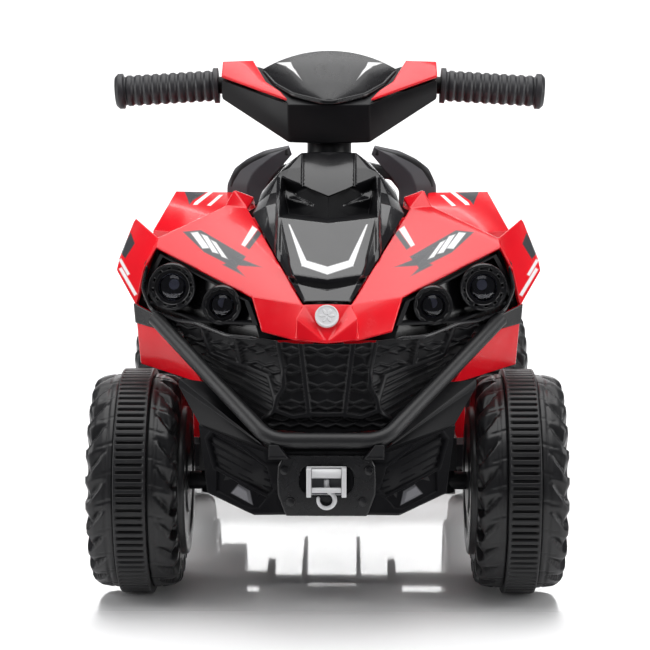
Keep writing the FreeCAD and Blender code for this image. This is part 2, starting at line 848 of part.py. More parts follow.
CONSOLE_BASE_SHARES = {
    "front_top_0": (0.0, 0.02, 0.42), "front_low_0": (0.0, 0.09, 0.06),
    "rear_low_0": (0.0, 0.78, 0.04), "rear_top_0": (0.0, 0.99, 0.46),
    "front_top_1": (0.37, 0.06, 0.42), "front_low_1": (0.37, 0.13, 0.07),
    "rear_low_1": (0.37, 0.76, 0.05), "rear_top_1": (0.37, 0.99, 0.46),
    "front_top_2": (1.0, 0.38, 0.63), "front_low_2": (1.0, 0.43, 0.46),
    "rear_low_2": (1.0, 0.80, 0.46), "rear_top_2": (1.0, 0.86, 0.70),
}
CHEEK_SHARES = {
    "low_inner": (0.38, 0.055, 0.465), "low_outer": (1.0, 0.375, 0.675),
    "top_outer": (1.0, 0.60, 0.80), "rear_outer": (1.0, 0.86, 0.74), "rear_inner": (0.71, 0.92, 0.74),
    "top_inner": (0.71, 0.60, 0.81), "bend": (0.58, 0.30, 0.62), "waist": (0.45, 0.16, 0.54),
}
CHEEK_FACETS = [("low_inner", "low_outer", "waist"), ("low_outer", "bend", "waist"),
                ("low_outer", "top_outer", "top_inner", "bend"),
                ("top_outer", "rear_outer", "rear_inner", "top_inner")]
# Each dome section: its place along the depth, half width, edge height and crest height.
DOME_SHARES = ((0.01, 0.05, 0.456, 0.471), (0.17, 0.33, 0.52, 0.63), (0.35, 0.50, 0.61, 0.78),
               (0.55, 0.62, 0.73, 0.90), (0.77, 0.60, 0.73, 0.87))


def section_rows(tags):
    return [[f"{part}_{tag}" for part in ("front_top", "front_low", "rear_low", "rear_top")] for tag in tags]


base_points = spread(CONSOLE_BASE_SHARES, console_frame, console_spans)
base_half = rows_to_facets(section_rows("012"))
base_shape = shell_of(*both_sides(base_points, base_half), size("console_wall").value)
base_raw = feature("console_base_raw", base_shape)
neck_tool = cylinder("neck_tool", size("neck_diameter") + gap * 2, bar_along, **on_column(ZERO), **TILTED)
node(cut("console_base", base_raw, neck_tool))

cheek_points = spread(CHEEK_SHARES, console_frame, console_spans)
left_cheek = feature("left_cheek", shell_of(cheek_points, CHEEK_FACETS, size("console_wall").value))
node(group("console_cheeks", left_cheek, mirrored("right_cheek", left_cheek)))


def arch(y, half, edge, crest, floor):
    """A section across the bike: a flat floor, upright sides and an arched top."""
    left, right = Vector(-half, y, edge), Vector(half, y, edge)
    top = Part.Arc(right, Vector(0, y, crest), left).toShape()
    corners = [left, Vector(-half, y, floor), Vector(half, y, floor), right]
    sides = [Part.LineSegment(a, b).toShape() for a, b in zip(corners, corners[1:])]
    return Part.Wire([top] + sides)


def dome_shape():
    """The domed cover: arched sections along the depth, hollow underneath."""
    span, depth, height = (item.value for item in console_spans)
    _, front, floor = (item.value for item in console_frame)
    skin = size("console_wall").value

    def loft(sections, inset):
        wires = []
        for along, half, edge, crest in sections:
            low = floor + edge * height - inset
            wires.append(arch(front + along * depth, half * span - inset, low,
                              low + (crest - edge) * height, low - skin))
        return Part.makeLoft(wires, True, True)

    return loft(DOME_SHARES, 0).cut(loft(DOME_SHARES[1:], skin))


node(feature("console_dome", dome_shape()))

# Dash panel facing the rider, with two push buttons and two rocker switches.
dash_half = size("dash_width") / 2
dash_plate = pad("dash_plate", "XY_Plane",
                 [(-dash_half, ZERO), (dash_half, ZERO), (dash_half, size("dash_height")),
                  (-dash_half, size("dash_height"))], size("dash_thickness"))
DASH_TURN = {"axis": Vector(-1, 0, 0), "angle": size("dash_tilt")}
dash_tilt = size("dash_tilt")
dash_middle = size("dash_height") / 2


def on_dash(x, up, out):
    """A point on the dash: across, down its slope towards the rider, and out of its face."""
    return {"x": x, "y": bar_y + size("dash_setback") + up * cosine(dash_tilt) + out * sine(dash_tilt),
            "z": bar_z + size("dash_rise") - up * sine(dash_tilt) + out * cosine(dash_tilt)}


place(dash_plate, **on_dash(ZERO, ZERO, ZERO), **DASH_TURN)
button_x = size("button_spread") / 2
rocker_x = size("rocker_spread") / 2
dash_tools = []
for tag, way in (("left", 1), ("right", -1)):
    hole_width = size("button_diameter") + gap * 2
    dash_tools.append(cylinder(f"{tag}_button_hole", hole_width, size("dash_thickness"),
                               **on_dash(button_x * way, dash_middle, ZERO), **DASH_TURN))
    window = doc.addObject("Part::Box", f"{tag}_rocker_window")
    window_width = size("rocker_width") + gap * 2
    window_length = size("rocker_length") + gap * 4
    bind(window, Length=window_width, Width=window_length, Height=size("dash_thickness"))
    dash_tools.append(place(window, **on_dash(rocker_x * way - window_width / 2,
                                              dash_middle - window_length / 2, ZERO), **DASH_TURN))
node(cut("dash_panel", dash_plate, *dash_tools))


def make_button(name, x):
    """A push button: its head stands below the plate, its cap above it."""
    sunk = size("dash_thickness") + size("button_proud") - size("button_height")
    cap = cylinder(name + "_cap", size("button_diameter"), size("button_height"),
                   **on_dash(x, dash_middle, sunk), **DASH_TURN)
    head = cylinder(name + "_head", size("button_head_diameter"), size("button_head_height"),
                    **on_dash(x, dash_middle, -size("button_head_height") - gap), **DASH_TURN)
    return fuse(name, cap, head)


node(make_button("horn_button", button_x))
node(make_button("music_button", -button_x))


ROCKER_FOOT_SHARE = 0.4
ROCKER_DIP_SHARE = 0.6


def make_rocker(name, x):
    """A rocker with raised ends and a round pivot barrel across its middle."""
    half = size("rocker_length") / 2
    mid = size("rocker_height") / 2
    foot = mid * ROCKER_FOOT_SHARE
    key = pad(name + "_key", "YZ_Plane",
              [(-half, -foot), (half, -foot), (half, mid), (ZERO, mid * ROCKER_DIP_SHARE), (-half, mid)],
              size("rocker_width"), midplane=True)
    place(key, **on_dash(x, dash_middle, size("dash_thickness") / 2), **DASH_TURN)
    barrel = doc.addObject("Part::Cylinder", name + "_barrel")
    bind(barrel, Radius=size("rocker_barrel_diameter") / 2, Height=size("rocker_width"))
    place(barrel, **on_dash(x - size("rocker_width") / 2, dash_middle, size("dash_thickness") / 2), **ALONG_X)
    return fuse(name, key, barrel)


node(make_rocker("power_switch", rocker_x))
node(make_rocker("direction_switch", -rocker_x))

# Front body. Its points are shares of half span, length behind the nose, and height.
nose_y = size("nose_setback") - half_length
front_frame = (ZERO, nose_y, ZERO)
front_spans = (size("front_span"), size("front_length"), size("front_height"))

FAIRING_SHARES = {
    "nose_low": (0.0, 0.016, 0.605), "nose_corner": (0.13, 0.028, 0.61), "nose_side": (0.13, 0.040, 0.655),
    "nose_top": (0.0, 0.084, 0.681), "hood_corner": (0.10, 0.094, 0.679),
    "lamp_inner": (0.32, 0.152, 0.692), "lamp_inner_low": (0.275, 0.072, 0.625),
    "lamp_outer": (0.755, 0.44, 0.778), "valley": (0.75, 0.48, 0.795), "crest": (0.465, 0.672, 0.855),
    "peak": (0.43, 0.712, 0.89), "peak_inner": (0.34, 0.736, 0.872), "hood_edge": (0.365, 0.64, 0.852),
    "wing_tip": (0.865, 0.60, 0.832), "wing_inner": (0.81, 0.392, 0.732), "wing_low": (0.85, 0.44, 0.65),
    "wing_out": (0.95, 0.58, 0.715), "wing_upper": (0.94, 0.608, 0.742),
    "lamp_low": (0.71, 0.336, 0.625), "skirt_out": (0.83, 0.456, 0.515), "skirt_mid": (0.54, 0.296, 0.487),
    "rear_out": (0.92, 0.856, 0.715), "rear_mid": (0.75, 0.872, 0.75),
    "rear_in": (0.48, 0.896, 0.812), "rear_hood": (0.345, 0.904, 0.845), "skirt_rear": (0.85, 0.792, 0.555),
}
FAIRING_FACETS = [
    ("nose_low", "nose_corner", "nose_side", "hood_corner", "nose_top"),
    ("nose_corner", "lamp_inner_low", "lamp_inner", "hood_corner", "nose_side"),
    ("hood_corner", "lamp_inner", "hood_edge"), ("lamp_inner", "lamp_outer", "hood_edge"),
    ("hood_edge", "lamp_outer", "crest"), ("lamp_outer", "valley", "crest"),
    ("hood_edge", "crest", "peak"), ("hood_edge", "peak", "peak_inner"),
    ("wing_tip", "wing_low", "wing_out", "wing_upper"),
    ("valley", "lamp_outer", "wing_inner", "wing_low", "wing_tip"),
    ("peak", "crest", "rear_in"), ("peak", "rear_in", "rear_hood", "peak_inner"),
    ("crest", "valley", "rear_mid", "rear_in"), ("valley", "wing_tip", "rear_mid"),
    ("wing_tip", "rear_out", "rear_mid"), ("wing_tip", "wing_upper", "rear_out"),
    ("wing_upper", "wing_out", "rear_out"),
    ("lamp_low", "skirt_mid", "skirt_out", "wing_low"),
    ("wing_low", "skirt_out", "skirt_rear"), ("wing_low", "skirt_rear", "rear_out", "wing_out"),
]
fairing_points = spread(FAIRING_SHARES, front_frame, front_spans)
node(feature("front_fairing", shell_of(*both_sides(fairing_points, FAIRING_FACETS), size("body_wall").value)))

# Hood cover: rows across the bike, each with its middle, its plate edge, its shoulder and its foot
# beside the fairing.
HOOD_ROW_SHARES = (
    (0.099, (0.0, 0.6835), (0.085, 0.6825), (0.091, 0.6815), (0.097, 0.680)),
    (0.192, (0.0, 0.722), (0.130, 0.720), (0.138, 0.716), (0.144, 0.710)),
    (0.340, (0.0, 0.777), (0.180, 0.772), (0.202, 0.767), (0.216, 0.757)),
    (0.488, (0.0, 0.832), (0.215, 0.827), (0.258, 0.818), (0.287, 0.804)),
    (0.600, (0.0, 0.872), (0.210, 0.867), (0.278, 0.858), (0.342, 0.840)),
    (0.680, (0.0, 0.900), (0.205, 0.890), (0.264, 0.882), (0.320, 0.860)),
    (0.728, (0.0, 0.945), (0.180, 0.936), (0.224, 0.927), (0.310, 0.876)),
    (0.788, (0.0, 0.9735), (0.125, 0.970), (0.190, 0.946), (0.308, 0.880)),
)
HOOD_REAR_SHARES = ((0.812, 0.140, (0.205, 0.925), (0.306, 0.882)),
                    (1.040, 0.140, (0.215, 0.884), (0.300, 0.876)))
HOOD_BACK_SHARES = ((1.096, (0.0, 0.880), (0.150, 0.880), (0.220, 0.877), (0.290, 0.866)),
                    (1.200, (0.0, 0.676), (0.200, 0.676), (0.265, 0.675), (0.330, 0.672)))


def hood_shape():
    """The hood: plates rising to a rim before the neck, a well square to the column, a slope to the seat."""
    span, length, height = (item.value for item in front_spans)
    slope = math.tan(math.radians(tilt.value))
    well_y = on_column(neck_along)["y"].value
    points = {}
    rows = []

    def add_row(along, *spots):
        names = [f"row{len(rows)}_{i}" for i in range(len(spots))]
        for name, (across, up) in zip(names, spots):
            points[name] = Vector(across * span, nose_y.value + along * length, up)
        rows.append(names)

    for along, *spots in HOOD_ROW_SHARES:
        add_row(along, *((across, up * height) for across, up in spots))
    for along, edge, shoulder, foot in HOOD_REAR_SHARES:
        level = neck_floor.value - (nose_y.value + along * length - well_y) * slope
        add_row(along, (0.0, level), (edge, level),
                *((across, up * height) for across, up in (shoulder, foot)))
    for along, *spots in HOOD_BACK_SHARES:
        add_row(along, *((across, up * height) for across, up in spots))
    return shell_of(*both_sides(points, rows_to_facets(rows)), size("body_wall").value)


hood_raw = feature("hood_raw", hood_shape())
hood_tool = cylinder("hood_tool", housing_bore, bar_along, **on_column(ZERO), **TILTED)
node(cut("hood_cover", hood_raw, hood_tool))

# Headlight pods: a tray in each fairing opening, with two lens barrels moulded in.
POD_SHARES = (
    (0.330, 0.150, 0.681), (0.735, 0.424, 0.763), (0.775, 0.420, 0.727), (0.815, 0.440, 0.660),
    (0.560, 0.236, 0.628), (0.290, 0.082, 0.636),
)
OUTER_BARREL_SHARES = (0.672, 0.312, 0.698)
INNER_BARREL_SHARES = (0.448, 0.180, 0.669)
POCKET_SHARE = 0.92


def pod_slab(inset_share, start, depth):
    """The pod's front outline, drawn in towards its middle, carried straight back."""
    front = [spread({"spot": shares}, front_frame, front_spans)["spot"] for shares in POD_SHARES]
    middle = Vector()
    for spot in front:
        middle = middle + spot / len(front)
    rim = [middle + (spot - middle) * inset_share + Vector(0, start, 0) for spot in front]
    back = [spot + Vector(0, depth, 0) for spot in rim]
    triangles = []
    count = len(rim)
    for i in range(1, count - 1):
        triangles.append((rim[0], rim[i + 1], rim[i]))
        triangles.append((back[0], back[i], back[i + 1]))
    for i in range(count):
        j = (i + 1) % count
        triangles.append((rim[i], rim[j], back[j]))
        triangles.append((rim[i], back[j], back[i]))
    return solid_of(triangles)


BARRELS = (("outer", OUTER_BARREL_SHARES), ("inner", INNER_BARREL_SHARES))


def barrel_front(shares):
    return spread({"spot": shares}, front_frame, front_spans)["spot"]


def pod_shape():
    depth = size("pod_depth").value
    shape = pod_slab(1.0, 0.0, depth).cut(pod_slab(POCKET_SHARE, -overrun.value, depth))
    deep = size("lens_barrel_depth").value
    for kind, shares in BARRELS:
        spot = barrel_front(shares)
        radius = size(kind + "_barrel_diameter").value / 2
        shape = shape.fuse(Part.makeCylinder(radius, deep, spot, Vector(0, 1, 0)))
    for kind, shares in BARRELS:
        spot = barrel_front(shares)
        bore = size(kind + "_lens_diameter").value / 2 + size("running_gap").value
        open_depth = deep - size("lens_floor").value
        shape = shape.cut(Part.makeCylinder(bore, open_depth, spot, Vector(0, 1, 0)))
    return shape.removeSplitter()


def lens_shape(kind, shares):
    """A lens with a flat back and a domed front, set into its barrel."""
    radius = size(kind + "_lens_diameter").value / 2
    depth = size("lens_depth").value
    spot = barrel_front(shares) + Vector(0, size("lens_setin").value, 0)
    dome_radius = (radius * radius + depth * depth / 4) / depth
    blank = Part.makeCylinder(radius, depth, spot, Vector(0, 1, 0))
    return blank.common(Part.makeSphere(dome_radius, spot + Vector(0, dome_radius, 0)))


def led_shape(shares):
    floor_y = size("lens_barrel_depth").value - size("lens_floor").value
    spot = barrel_front(shares) + Vector(0, floor_y, 0)
    return Part.makeCylinder(size("led_diameter").value / 2, size("led_height").value, spot, Vector(0, -1, 0))


left_pod = feature("left_pod", pod_shape())
node(group("headlight_pods", left_pod, mirrored("right_pod", left_pod)))
left_lenses = feature("left_lens_pair", Part.makeCompound([lens_shape(*barrel) for barrel in BARRELS]))
node(group("headlight_lenses", left_lenses, mirrored("right_lens_pair", left_lenses)))
left_leds = feature("left_led_pair", Part.makeCompound([led_shape(shares) for _, shares in BARRELS]))
node(group("headlight_leds", left_leds, mirrored("right_led_pair", left_leds)))

# Grille below the nose and the round badge on it.
GRILLE_SHARES = {
    "top": (0.0, 0.008, 0.603), "top_corner": (0.135, 0.018, 0.604), "top_side": (0.28, 0.058, 0.612),
    "top_mid": (0.35, 0.080, 0.631), "top_out": (0.67, 0.280, 0.634), "out_low": (0.56, 0.256, 0.54),
    "side_low": (0.40, 0.168, 0.47),
    "low_corner": (0.25, -0.006, 0.425), "low": (0.0, -0.020, 0.416),
}
GRILLE_FACETS = [("top", "low", "low_corner", "top_corner"),
                 ("top_corner", "low_corner", "side_low", "top_side"),
                 ("top_side", "side_low", "out_low", "top_out", "top_mid")]
grille_points = spread(GRILLE_SHARES, front_frame, front_spans)
node(feature("grille", shell_of(*both_sides(grille_points, GRILLE_FACETS), size("body_wall").value)))


def badge_shape():
    """A plain round badge lying on the nose facet."""
    facing = normal_of([fairing_points[name] for name in FAIRING_FACETS[0]])
    facing = Vector(0, facing.y, facing.z).normalize()
    middle = (fairing_points["nose_low"] + fairing_points["nose_top"] * 2) / 3
    return Part.makeCylinder(size("badge_diameter").value / 2, size("badge_thickness").value,
                             middle + facing * gap.value, facing)


node(feature("nose_badge", badge_shape()))

# Bumper: a bent tube, the lower guard, and the bracket that ties both to the axle carrier.
BAR_END_SHARES = (0.75, 0.328, 0.63)
BAR_BEND_SHARES = (0.235, -0.064, 0.409)
GUARD_SHARES = {
    "top": (0.0, -0.048, 0.391), "top_side": (0.25, -0.048, 0.391),
    "low": (0.0, -0.048, 0.25), "low_side": (0.18, -0.048, 0.25), "chin": (0.305, -0.040, 0.2475),
    "flank_low": (0.503, 0.028, 0.285), "flank": (0.54, 0.080, 0.4275), "wing_low": (0.64, 0.232, 0.49),
    "wing_top": (0.64, 0.232, 0.5075), "wing_inner": (0.495, 0.176, 0.505),
    "wing_root": (0.41, 0.104, 0.4575), "floor": (0.0, 0.03, 0.2475), "floor_side": (0.30, 0.03, 0.2475),
}
GUARD_FACETS = [
    ("top", "low", "low_side", "top_side"),
    ("top_side", "low_side", "chin", "flank_low", "flank"),
    ("top_side", "flank", "wing_low", "wing_top", "wing_inner", "wing_root"),
    ("low", "floor", "floor_side", "chin", "low_side"),
]


def front_spot(shares):
    return spread({"spot": shares}, front_frame, front_spans)["spot"]


def bumper_tube():
    """A round tube along straight runs joined by two arcs, all in one leaning plane."""
    end, bend = front_spot(BAR_END_SHARES), front_spot(BAR_BEND_SHARES)
    far_bend = Vector(-bend.x, bend.y, bend.z)
    far_end = Vector(-end.x, end.y, end.z)
    radius = size("bumper_bend_radius").value
    route = [end]
    edges = []
    for corner, before, after in ((bend, end, far_bend), (far_bend, bend, far_end)):
        inward = (before - corner).normalize()
        outward = (after - corner).normalize()
        half_turn = (math.pi - inward.getAngle(outward)) / 2
        reach = radius * math.tan(half_turn)
        bisector = (inward + outward).normalize()
        middle = corner + bisector * (radius / math.cos(half_turn) - radius)
        start, finish = corner + inward * reach, corner + outward * reach
        edges.append(Part.LineSegment(route[-1], start).toShape())
        edges.append(Part.Arc(start, middle, finish).toShape())
        route.append(finish)
    edges.append(Part.LineSegment(route[-1], far_end).toShape())
    ring = Part.Wire([Part.makeCircle(size("bumper_tube_diameter").value / 2, end, (bend - end).normalize())])
    return Part.Wire(edges).makePipeShell([ring], True, True)


node(feature("bumper_bar", bumper_tube()))
guard_points = spread(GUARD_SHARES, front_frame, front_spans)
node(feature("bumper_guard", shell_of(*both_sides(guard_points, GUARD_FACETS), size("body_wall").value)))

guard_face = nose_y + size("front_length") * GUARD_SHARES["low"][1]
bracket_half = size("bracket_width") / 2
bracket_top = size("carrier_floor") + size("bracket_height")
bracket_front = guard_face + size("body_wall") + gap * 3
bracket_arm = box("bracket_arm", (-bracket_half, bracket_half), (bracket_front, carrier_front),
                  (size("carrier_floor"), bracket_top))
lamp_back = nose_y + size("front_length") * INNER_BARREL_SHARES[1] + size("lens_barrel_depth") + gap
lamp_z = size("front_height") * INNER_BARREL_SHARES[2]
lamp_end = lamp_back + size("lamp_bar_thickness")
lamp_half = size("lamp_bar_half_width")
stem_half = size("lamp_stem_width") / 2
lamp_low = lamp_z - size("lamp_bar_height") / 2
lamp_bar = box("lamp_bar", (-lamp_half, lamp_half), (lamp_back, lamp_end),
               (lamp_low, lamp_low + size("lamp_bar_height")))
lamp_stem = box("lamp_stem", (-stem_half, stem_half), (lamp_back, lamp_end),
                (bracket_top - gap, lamp_low + gap))
node(fuse("front_bracket", bracket_arm, lamp_bar, lamp_stem))

# Winch: a plate with four bolts, a roller fairlead and a hook.
plate_face = guard_face - gap - size("plate_thickness")
plate_half = size("plate_half_width")
plate_low = size("plate_floor")
plate_top = plate_low + size("plate_height")
corner = size("plate_corner")
plate_outline = [(-plate_half, plate_low), (plate_half, plate_low), (plate_half, plate_top - corner),
                 (plate_half - corner, plate_top), (corner - plate_half, plate_top),
                 (-plate_half, plate_top - corner)]
plate = pad("winch_plate", "XZ_Plane", plate_outline, size("plate_thickness"))
node(place(plate, y=guard_face - gap))
BOLT_SHARES = ((0.85, 0.76), (0.73, 0.24))
bolts = []
for across, up in BOLT_SHARES:
    for side in (1, -1):
        bolts.append(cylinder(f"bolt_{len(bolts)}", size("bolt_head_diameter"), size("bolt_head_height"),
                              x=plate_half * (across * side), y=plate_face - size("bolt_head_height"),
                              z=plate_low + size("plate_height") * up, **ALONG_Y))
node(group("winch_plate_bolts", *bolts))
lead_half = size("fairlead_half_width")
lead_low = size("fairlead_floor")
lead_top = lead_low + size("fairlead_height")
lead_front = plate_face - size("fairlead_depth")
lead_back = plate_face - size("fairlead_back")
lead_plate = box("fairlead_plate", (-lead_half, lead_half), (lead_back, plate_face), (lead_low, lead_top))
posts = [box("fairlead_post_left", (lead_half - size("fairlead_post"), lead_half), (lead_front, plate_face),
             (lead_low, lead_top)),
         box("fairlead_post_right", (-lead_half, size("fairlead_post") - lead_half), (lead_front, plate_face),
             (lead_low, lead_top))]
node(fuse("winch_fairlead", lead_plate, *posts))
roller_length = (lead_half - size("fairlead_post") - gap) * 2
ROLLER_SHARES = (("upper", 0.81), ("lower", 0.24))
rollers = []
for tag, up in ROLLER_SHARES:
    thick = size(tag + "_roller_diameter")
    rollers.append(cylinder(tag + "_roller", thick, roller_length, x=-roller_length / 2,
                            y=lead_front + thick / 2 + gap,
                            z=lead_low + size("fairlead_height") * up, **ALONG_X))
node(group("winch_rollers", *rollers))
wire = size("hook_wire_diameter")
ring_radius = size("hook_ring_diameter") / 2
hook_y = lead_back - wire / 2 - gap
hook_z = lead_low - size("hook_ring_diameter") / 4
hook_ring = doc.addObject("Part::Torus", "hook_ring")
bind(hook_ring, Radius1=ring_radius, Radius2=wire / 2)
place(hook_ring, y=hook_y, z=hook_z, **ALONG_Y)
hook_shank = cylinder("hook_shank", size("hook_shank_diameter"), size("hook_shank_length"),
                      y=hook_y, z=hook_z + ring_radius)
node(fuse("winch_hook", hook_ring, hook_shank))

# Chassis: a tub for the battery, footboards, a tongue to the carrier, and a spine to the rear axle.
tub_half = size("tub_half_width")
tub_wall = size("tub_wall")
tub_front = front_axle_y + size("tub_setback")
tub_rear = rear_axle_y - size("tub_rear_setin")
tub_floor, tub_top = size("tub_floor"), size("tub_top")
tub_blank = box("tub_blank", (-tub_half, tub_half), (tub_front, tub_rear), (tub_floor, tub_top))
room_half = tub_half - tub_wall
tub_room = box("tub_room", (-room_half, room_half), (tub_front + tub_wall, tub_rear - tub_wall),
               (tub_floor + tub_wall, tub_top))
tongue_half = size("tongue_half_width")
tongue = box("tub_tongue", (-tongue_half, tongue_half), (block_rear, tub_front + tub_wall),
             (tub_top - tub_wall * 2, carrier_top))
board_span = size("footboard_half_span")
board_front = front_axle_y + size("footboard_setback")
board_rear = rear_axle_y - size("footboard_rear_setin")
board_floor, board_top = size("footboard_floor"), size("footboard_top")
boards = []
board_rooms = []
for tag, side in (("left", 1), ("right", -1)):
    inner, outer = tub_half * side, board_span * side
    low, high = (inner, outer) if side > 0 else (outer, inner)
    boards.append(box(f"{tag}_footboard", (low, high), (board_front, board_rear), (board_floor, board_top)))
    board_rooms.append(box(f"{tag}_footboard_room", (low + tub_wall, high - tub_wall),
                           (board_front + tub_wall, board_rear - tub_wall),
                           (board_floor, board_top - tub_wall)))
SPINE_END_SHARE = 0.951
spine_half = size("spine_half_width")
spine_low = tub_floor + tub_wall
spine_top = spine_low + size("spine_height")
rear_y = rear_axle_y - size("rear_body_setin")
rear_length = half_length - rear_y
spine_rear = rear_y + rear_length * SPINE_END_SHARE
spine = box("tub_spine", (-spine_half, spine_half), (tub_rear - tub_wall, spine_rear), (spine_low, spine_top))
spine_room = box("spine_room", (tub_wall - spine_half, spine_half - tub_wall), (tub_rear, spine_rear),
                 (spine_low, spine_top - tub_wall))
case_outer_x = disc_x - size("gearbox_side_gap")
case_split_x = case_outer_x - size("gearbox_outer_depth")
case_inner_x = case_split_x - size("gearbox_inner_depth")
plate_inner = case_inner_x - size("axle_plate_setin")
plate_outer = plate_inner + size("axle_plate_thickness")
plate_reach = size("axle_plate_depth") / 2
plate_depth = (rear_axle_y - plate_reach, rear_axle_y + plate_reach)
axle_plates = [box("axle_plate_left", (plate_inner, plate_outer), plate_depth, (spine_low, spine_top)),
               box("axle_plate_right", (-plate_outer, -plate_inner), plate_depth, (spine_low, spine_top))]
tie_low = axle_z + size("axle_diameter")
axle_tie = box("axle_tie", (-plate_outer, plate_outer), plate_depth, (tie_low, spine_top))
rear_hole = cylinder("rear_axle_hole", size("axle_diameter"), axle_end_x * 2, x=-axle_end_x, y=rear_axle_y,
                     z=axle_z, **ALONG_X)
left_boss = cylinder("left_axle_boss", size("rear_spacer_diameter"), disc_x - gap - plate_outer,
                     x=plate_outer, y=rear_axle_y, z=axle_z, **ALONG_X)

pedal_x = -size("pedal_axis_offset")
pedal_y = board_front + size("pedal_axis_setback")
pedal_z = board_top + size("pedal_axis_lift")
pedal_half = size("pedal_width") / 2
lug_thick = size("pedal_lug_thickness")
lug_reach = size("pedal_lug_depth") / 2
lugs = []
for tag, side in (("left", 1), ("right", -1)):
    near = pedal_x + (pedal_half + gap) * side
    far = pedal_x + (pedal_half + gap + lug_thick) * side
    pair = (near, far) if side > 0 else (far, near)
    lugs.append(box(f"pedal_lug_{tag}", pair, (pedal_y - lug_reach, pedal_y + lug_reach),
                    (board_top - tub_wall / 2, pedal_z + lug_reach)))
pin_half = pedal_half + gap + lug_thick
pedal_pin = cylinder("pedal_pin", size("pedal_pin_diameter"), pin_half * 2, x=pedal_x - pin_half, y=pedal_y,
                     z=pedal_z, **ALONG_X)
tub_solid = fuse("tub_solid", tub_blank, *boards, tongue, spine, *axle_plates, axle_tie, left_boss)
tub_hollow = cut("tub_hollow", tub_solid, tub_room, *board_rooms, spine_room, rear_hole)
node(fuse("chassis_tub", tub_hollow, *lugs, pedal_pin))

battery_half = size("battery_width") / 2
battery_y = tub_front + size("battery_setback")
node(box("battery", (-battery_half, battery_half),
         (battery_y, battery_y + size("battery_length")),
         (tub_floor + tub_wall, tub_floor + tub_wall + size("battery_height"))))

# Throttle pedal on the right footboard: a plate that rises to the front, hung on its barrel.
rise = size("pedal_rise")
thick = size("pedal_thickness")
pedal_plate = doc.addObject("Part::Box", "pedal_plate")
bind(pedal_plate, Length=size("pedal_width"), Width=size("pedal_length"), Height=thick)
place(pedal_plate, pedal_x - pedal_half,
      pedal_y - size("pedal_length") * cosine(rise) - thick / 2 * sine(rise),
      pedal_z + size("pedal_length") * sine(rise) - thick / 2 * cosine(rise),
      axis=Vector(-1, 0, 0), angle=rise)
pedal_barrel = cylinder("pedal_barrel", size("pedal_barrel_diameter"), size("pedal_width"),
                        x=pedal_x - pedal_half, y=pedal_y, z=pedal_z, **ALONG_X)
pedal_bore = cylinder("pedal_bore", size("pedal_pin_diameter") + size("running_gap") * 2, size("pedal_width"),
                      x=pedal_x - pedal_half, y=pedal_y, z=pedal_z, **ALONG_X)
node(cut("throttle_pedal", fuse("pedal_blank", pedal_plate, pedal_barrel), pedal_bore))

# Rear axle with its nuts.
node(cylinder("rear_axle", size("axle_diameter"), axle_end_x * 2, x=-axle_end_x, y=rear_axle_y, z=axle_z,
              **ALONG_X))
rear_nuts = []
for tag, x in (("left", nut_x), ("right", -nut_x - size("axle_nut_height"))):
    blank = hexagon(f"rear_nut_{tag}_blank", size("axle_nut_width"), size("axle_nut_height"),
                    x=x, y=rear_axle_y, z=axle_z, **ALONG_X)
    hole = cylinder(f"rear_nut_{tag}_hole", size("axle_diameter"), size("axle_nut_height"),
                    x=x, y=rear_axle_y, z=axle_z, **ALONG_X)
    rear_nuts.append(cut(f"rear_nut_{tag}", blank, hole))
node(group("rear_axle_nuts", *rear_nuts))

# Gearbox beside the right rear wheel: a motor pinion, a compound gear and the wheel's output gear.
PINION_TEETH = 12
WHEEL_TEETH = 40
ADDENDUM_SHARE = 0.85
DEDENDUM_SHARE = 1.25
CASE_SHARES = ((0.45, -0.36), (0.45, 0.36), (0.19, 0.86), (-0.375, 1.0), (-0.90, 0.81), (-1.0, 0.24),
               (-0.825, -0.33), (-0.25, -0.86), (0.19, -0.86))

coarse = size("coarse_module").value
fine = size("fine_module").value
train = size("train_angle").value
drive = size("drive_angle").value
tooth_sum = PINION_TEETH + WHEEL_TEETH


def leg(length, angle):
    """A step from one gear axis to the next, forwards and up."""
    turn = math.radians(angle)
    return Vector(0, -length * math.cos(turn), length * math.sin(turn))


output_axis = Vector(0, rear_axle_y.value, axle_z.value)
compound_axis = output_axis + leg(coarse * tooth_sum / 2, train)
pinion_axis = compound_axis + leg(fine * tooth_sum / 2, drive)


def gear_blank(module, teeth, centre, x_start, face, tooth_at):
    """A spur gear with straight flanks; a tooth points along the angle tooth_at in the Y-Z plane."""
    pitch_radius = module * teeth / 2
    tip = pitch_radius + module * ADDENDUM_SHARE
    root = pitch_radius - module * DEDENDUM_SHARE
    lean = math.tan(math.radians(size("flank_angle").value)) / pitch_radius
    half = math.pi / 2 / teeth - size("tooth_play").value / 2 / pitch_radius
    root_half = half + (pitch_radius - root) * lean
    tip_half = half - (tip - pitch_radius) * lean
    spots = []
    for tooth in range(teeth):
        middle = tooth_at + tooth * 2 * math.pi / teeth
        for reach, turn in ((root, -root_half), (tip, -tip_half), (tip, tip_half), (root, root_half)):
            angle = middle + turn
            spots.append(centre + Vector(x_start, reach * math.cos(angle), reach * math.sin(angle)))
    return Part.Face(Part.makePolygon(spots + spots[:1])).extrude(Vector(face, 0, 0))


def rod_x(diameter, centre, x_start, x_end):
    """A round bar along X about a gear axis."""
    return Part.makeCylinder(diameter / 2, x_end - x_start, centre + Vector(x_start, 0, 0), Vector(1, 0, 0))


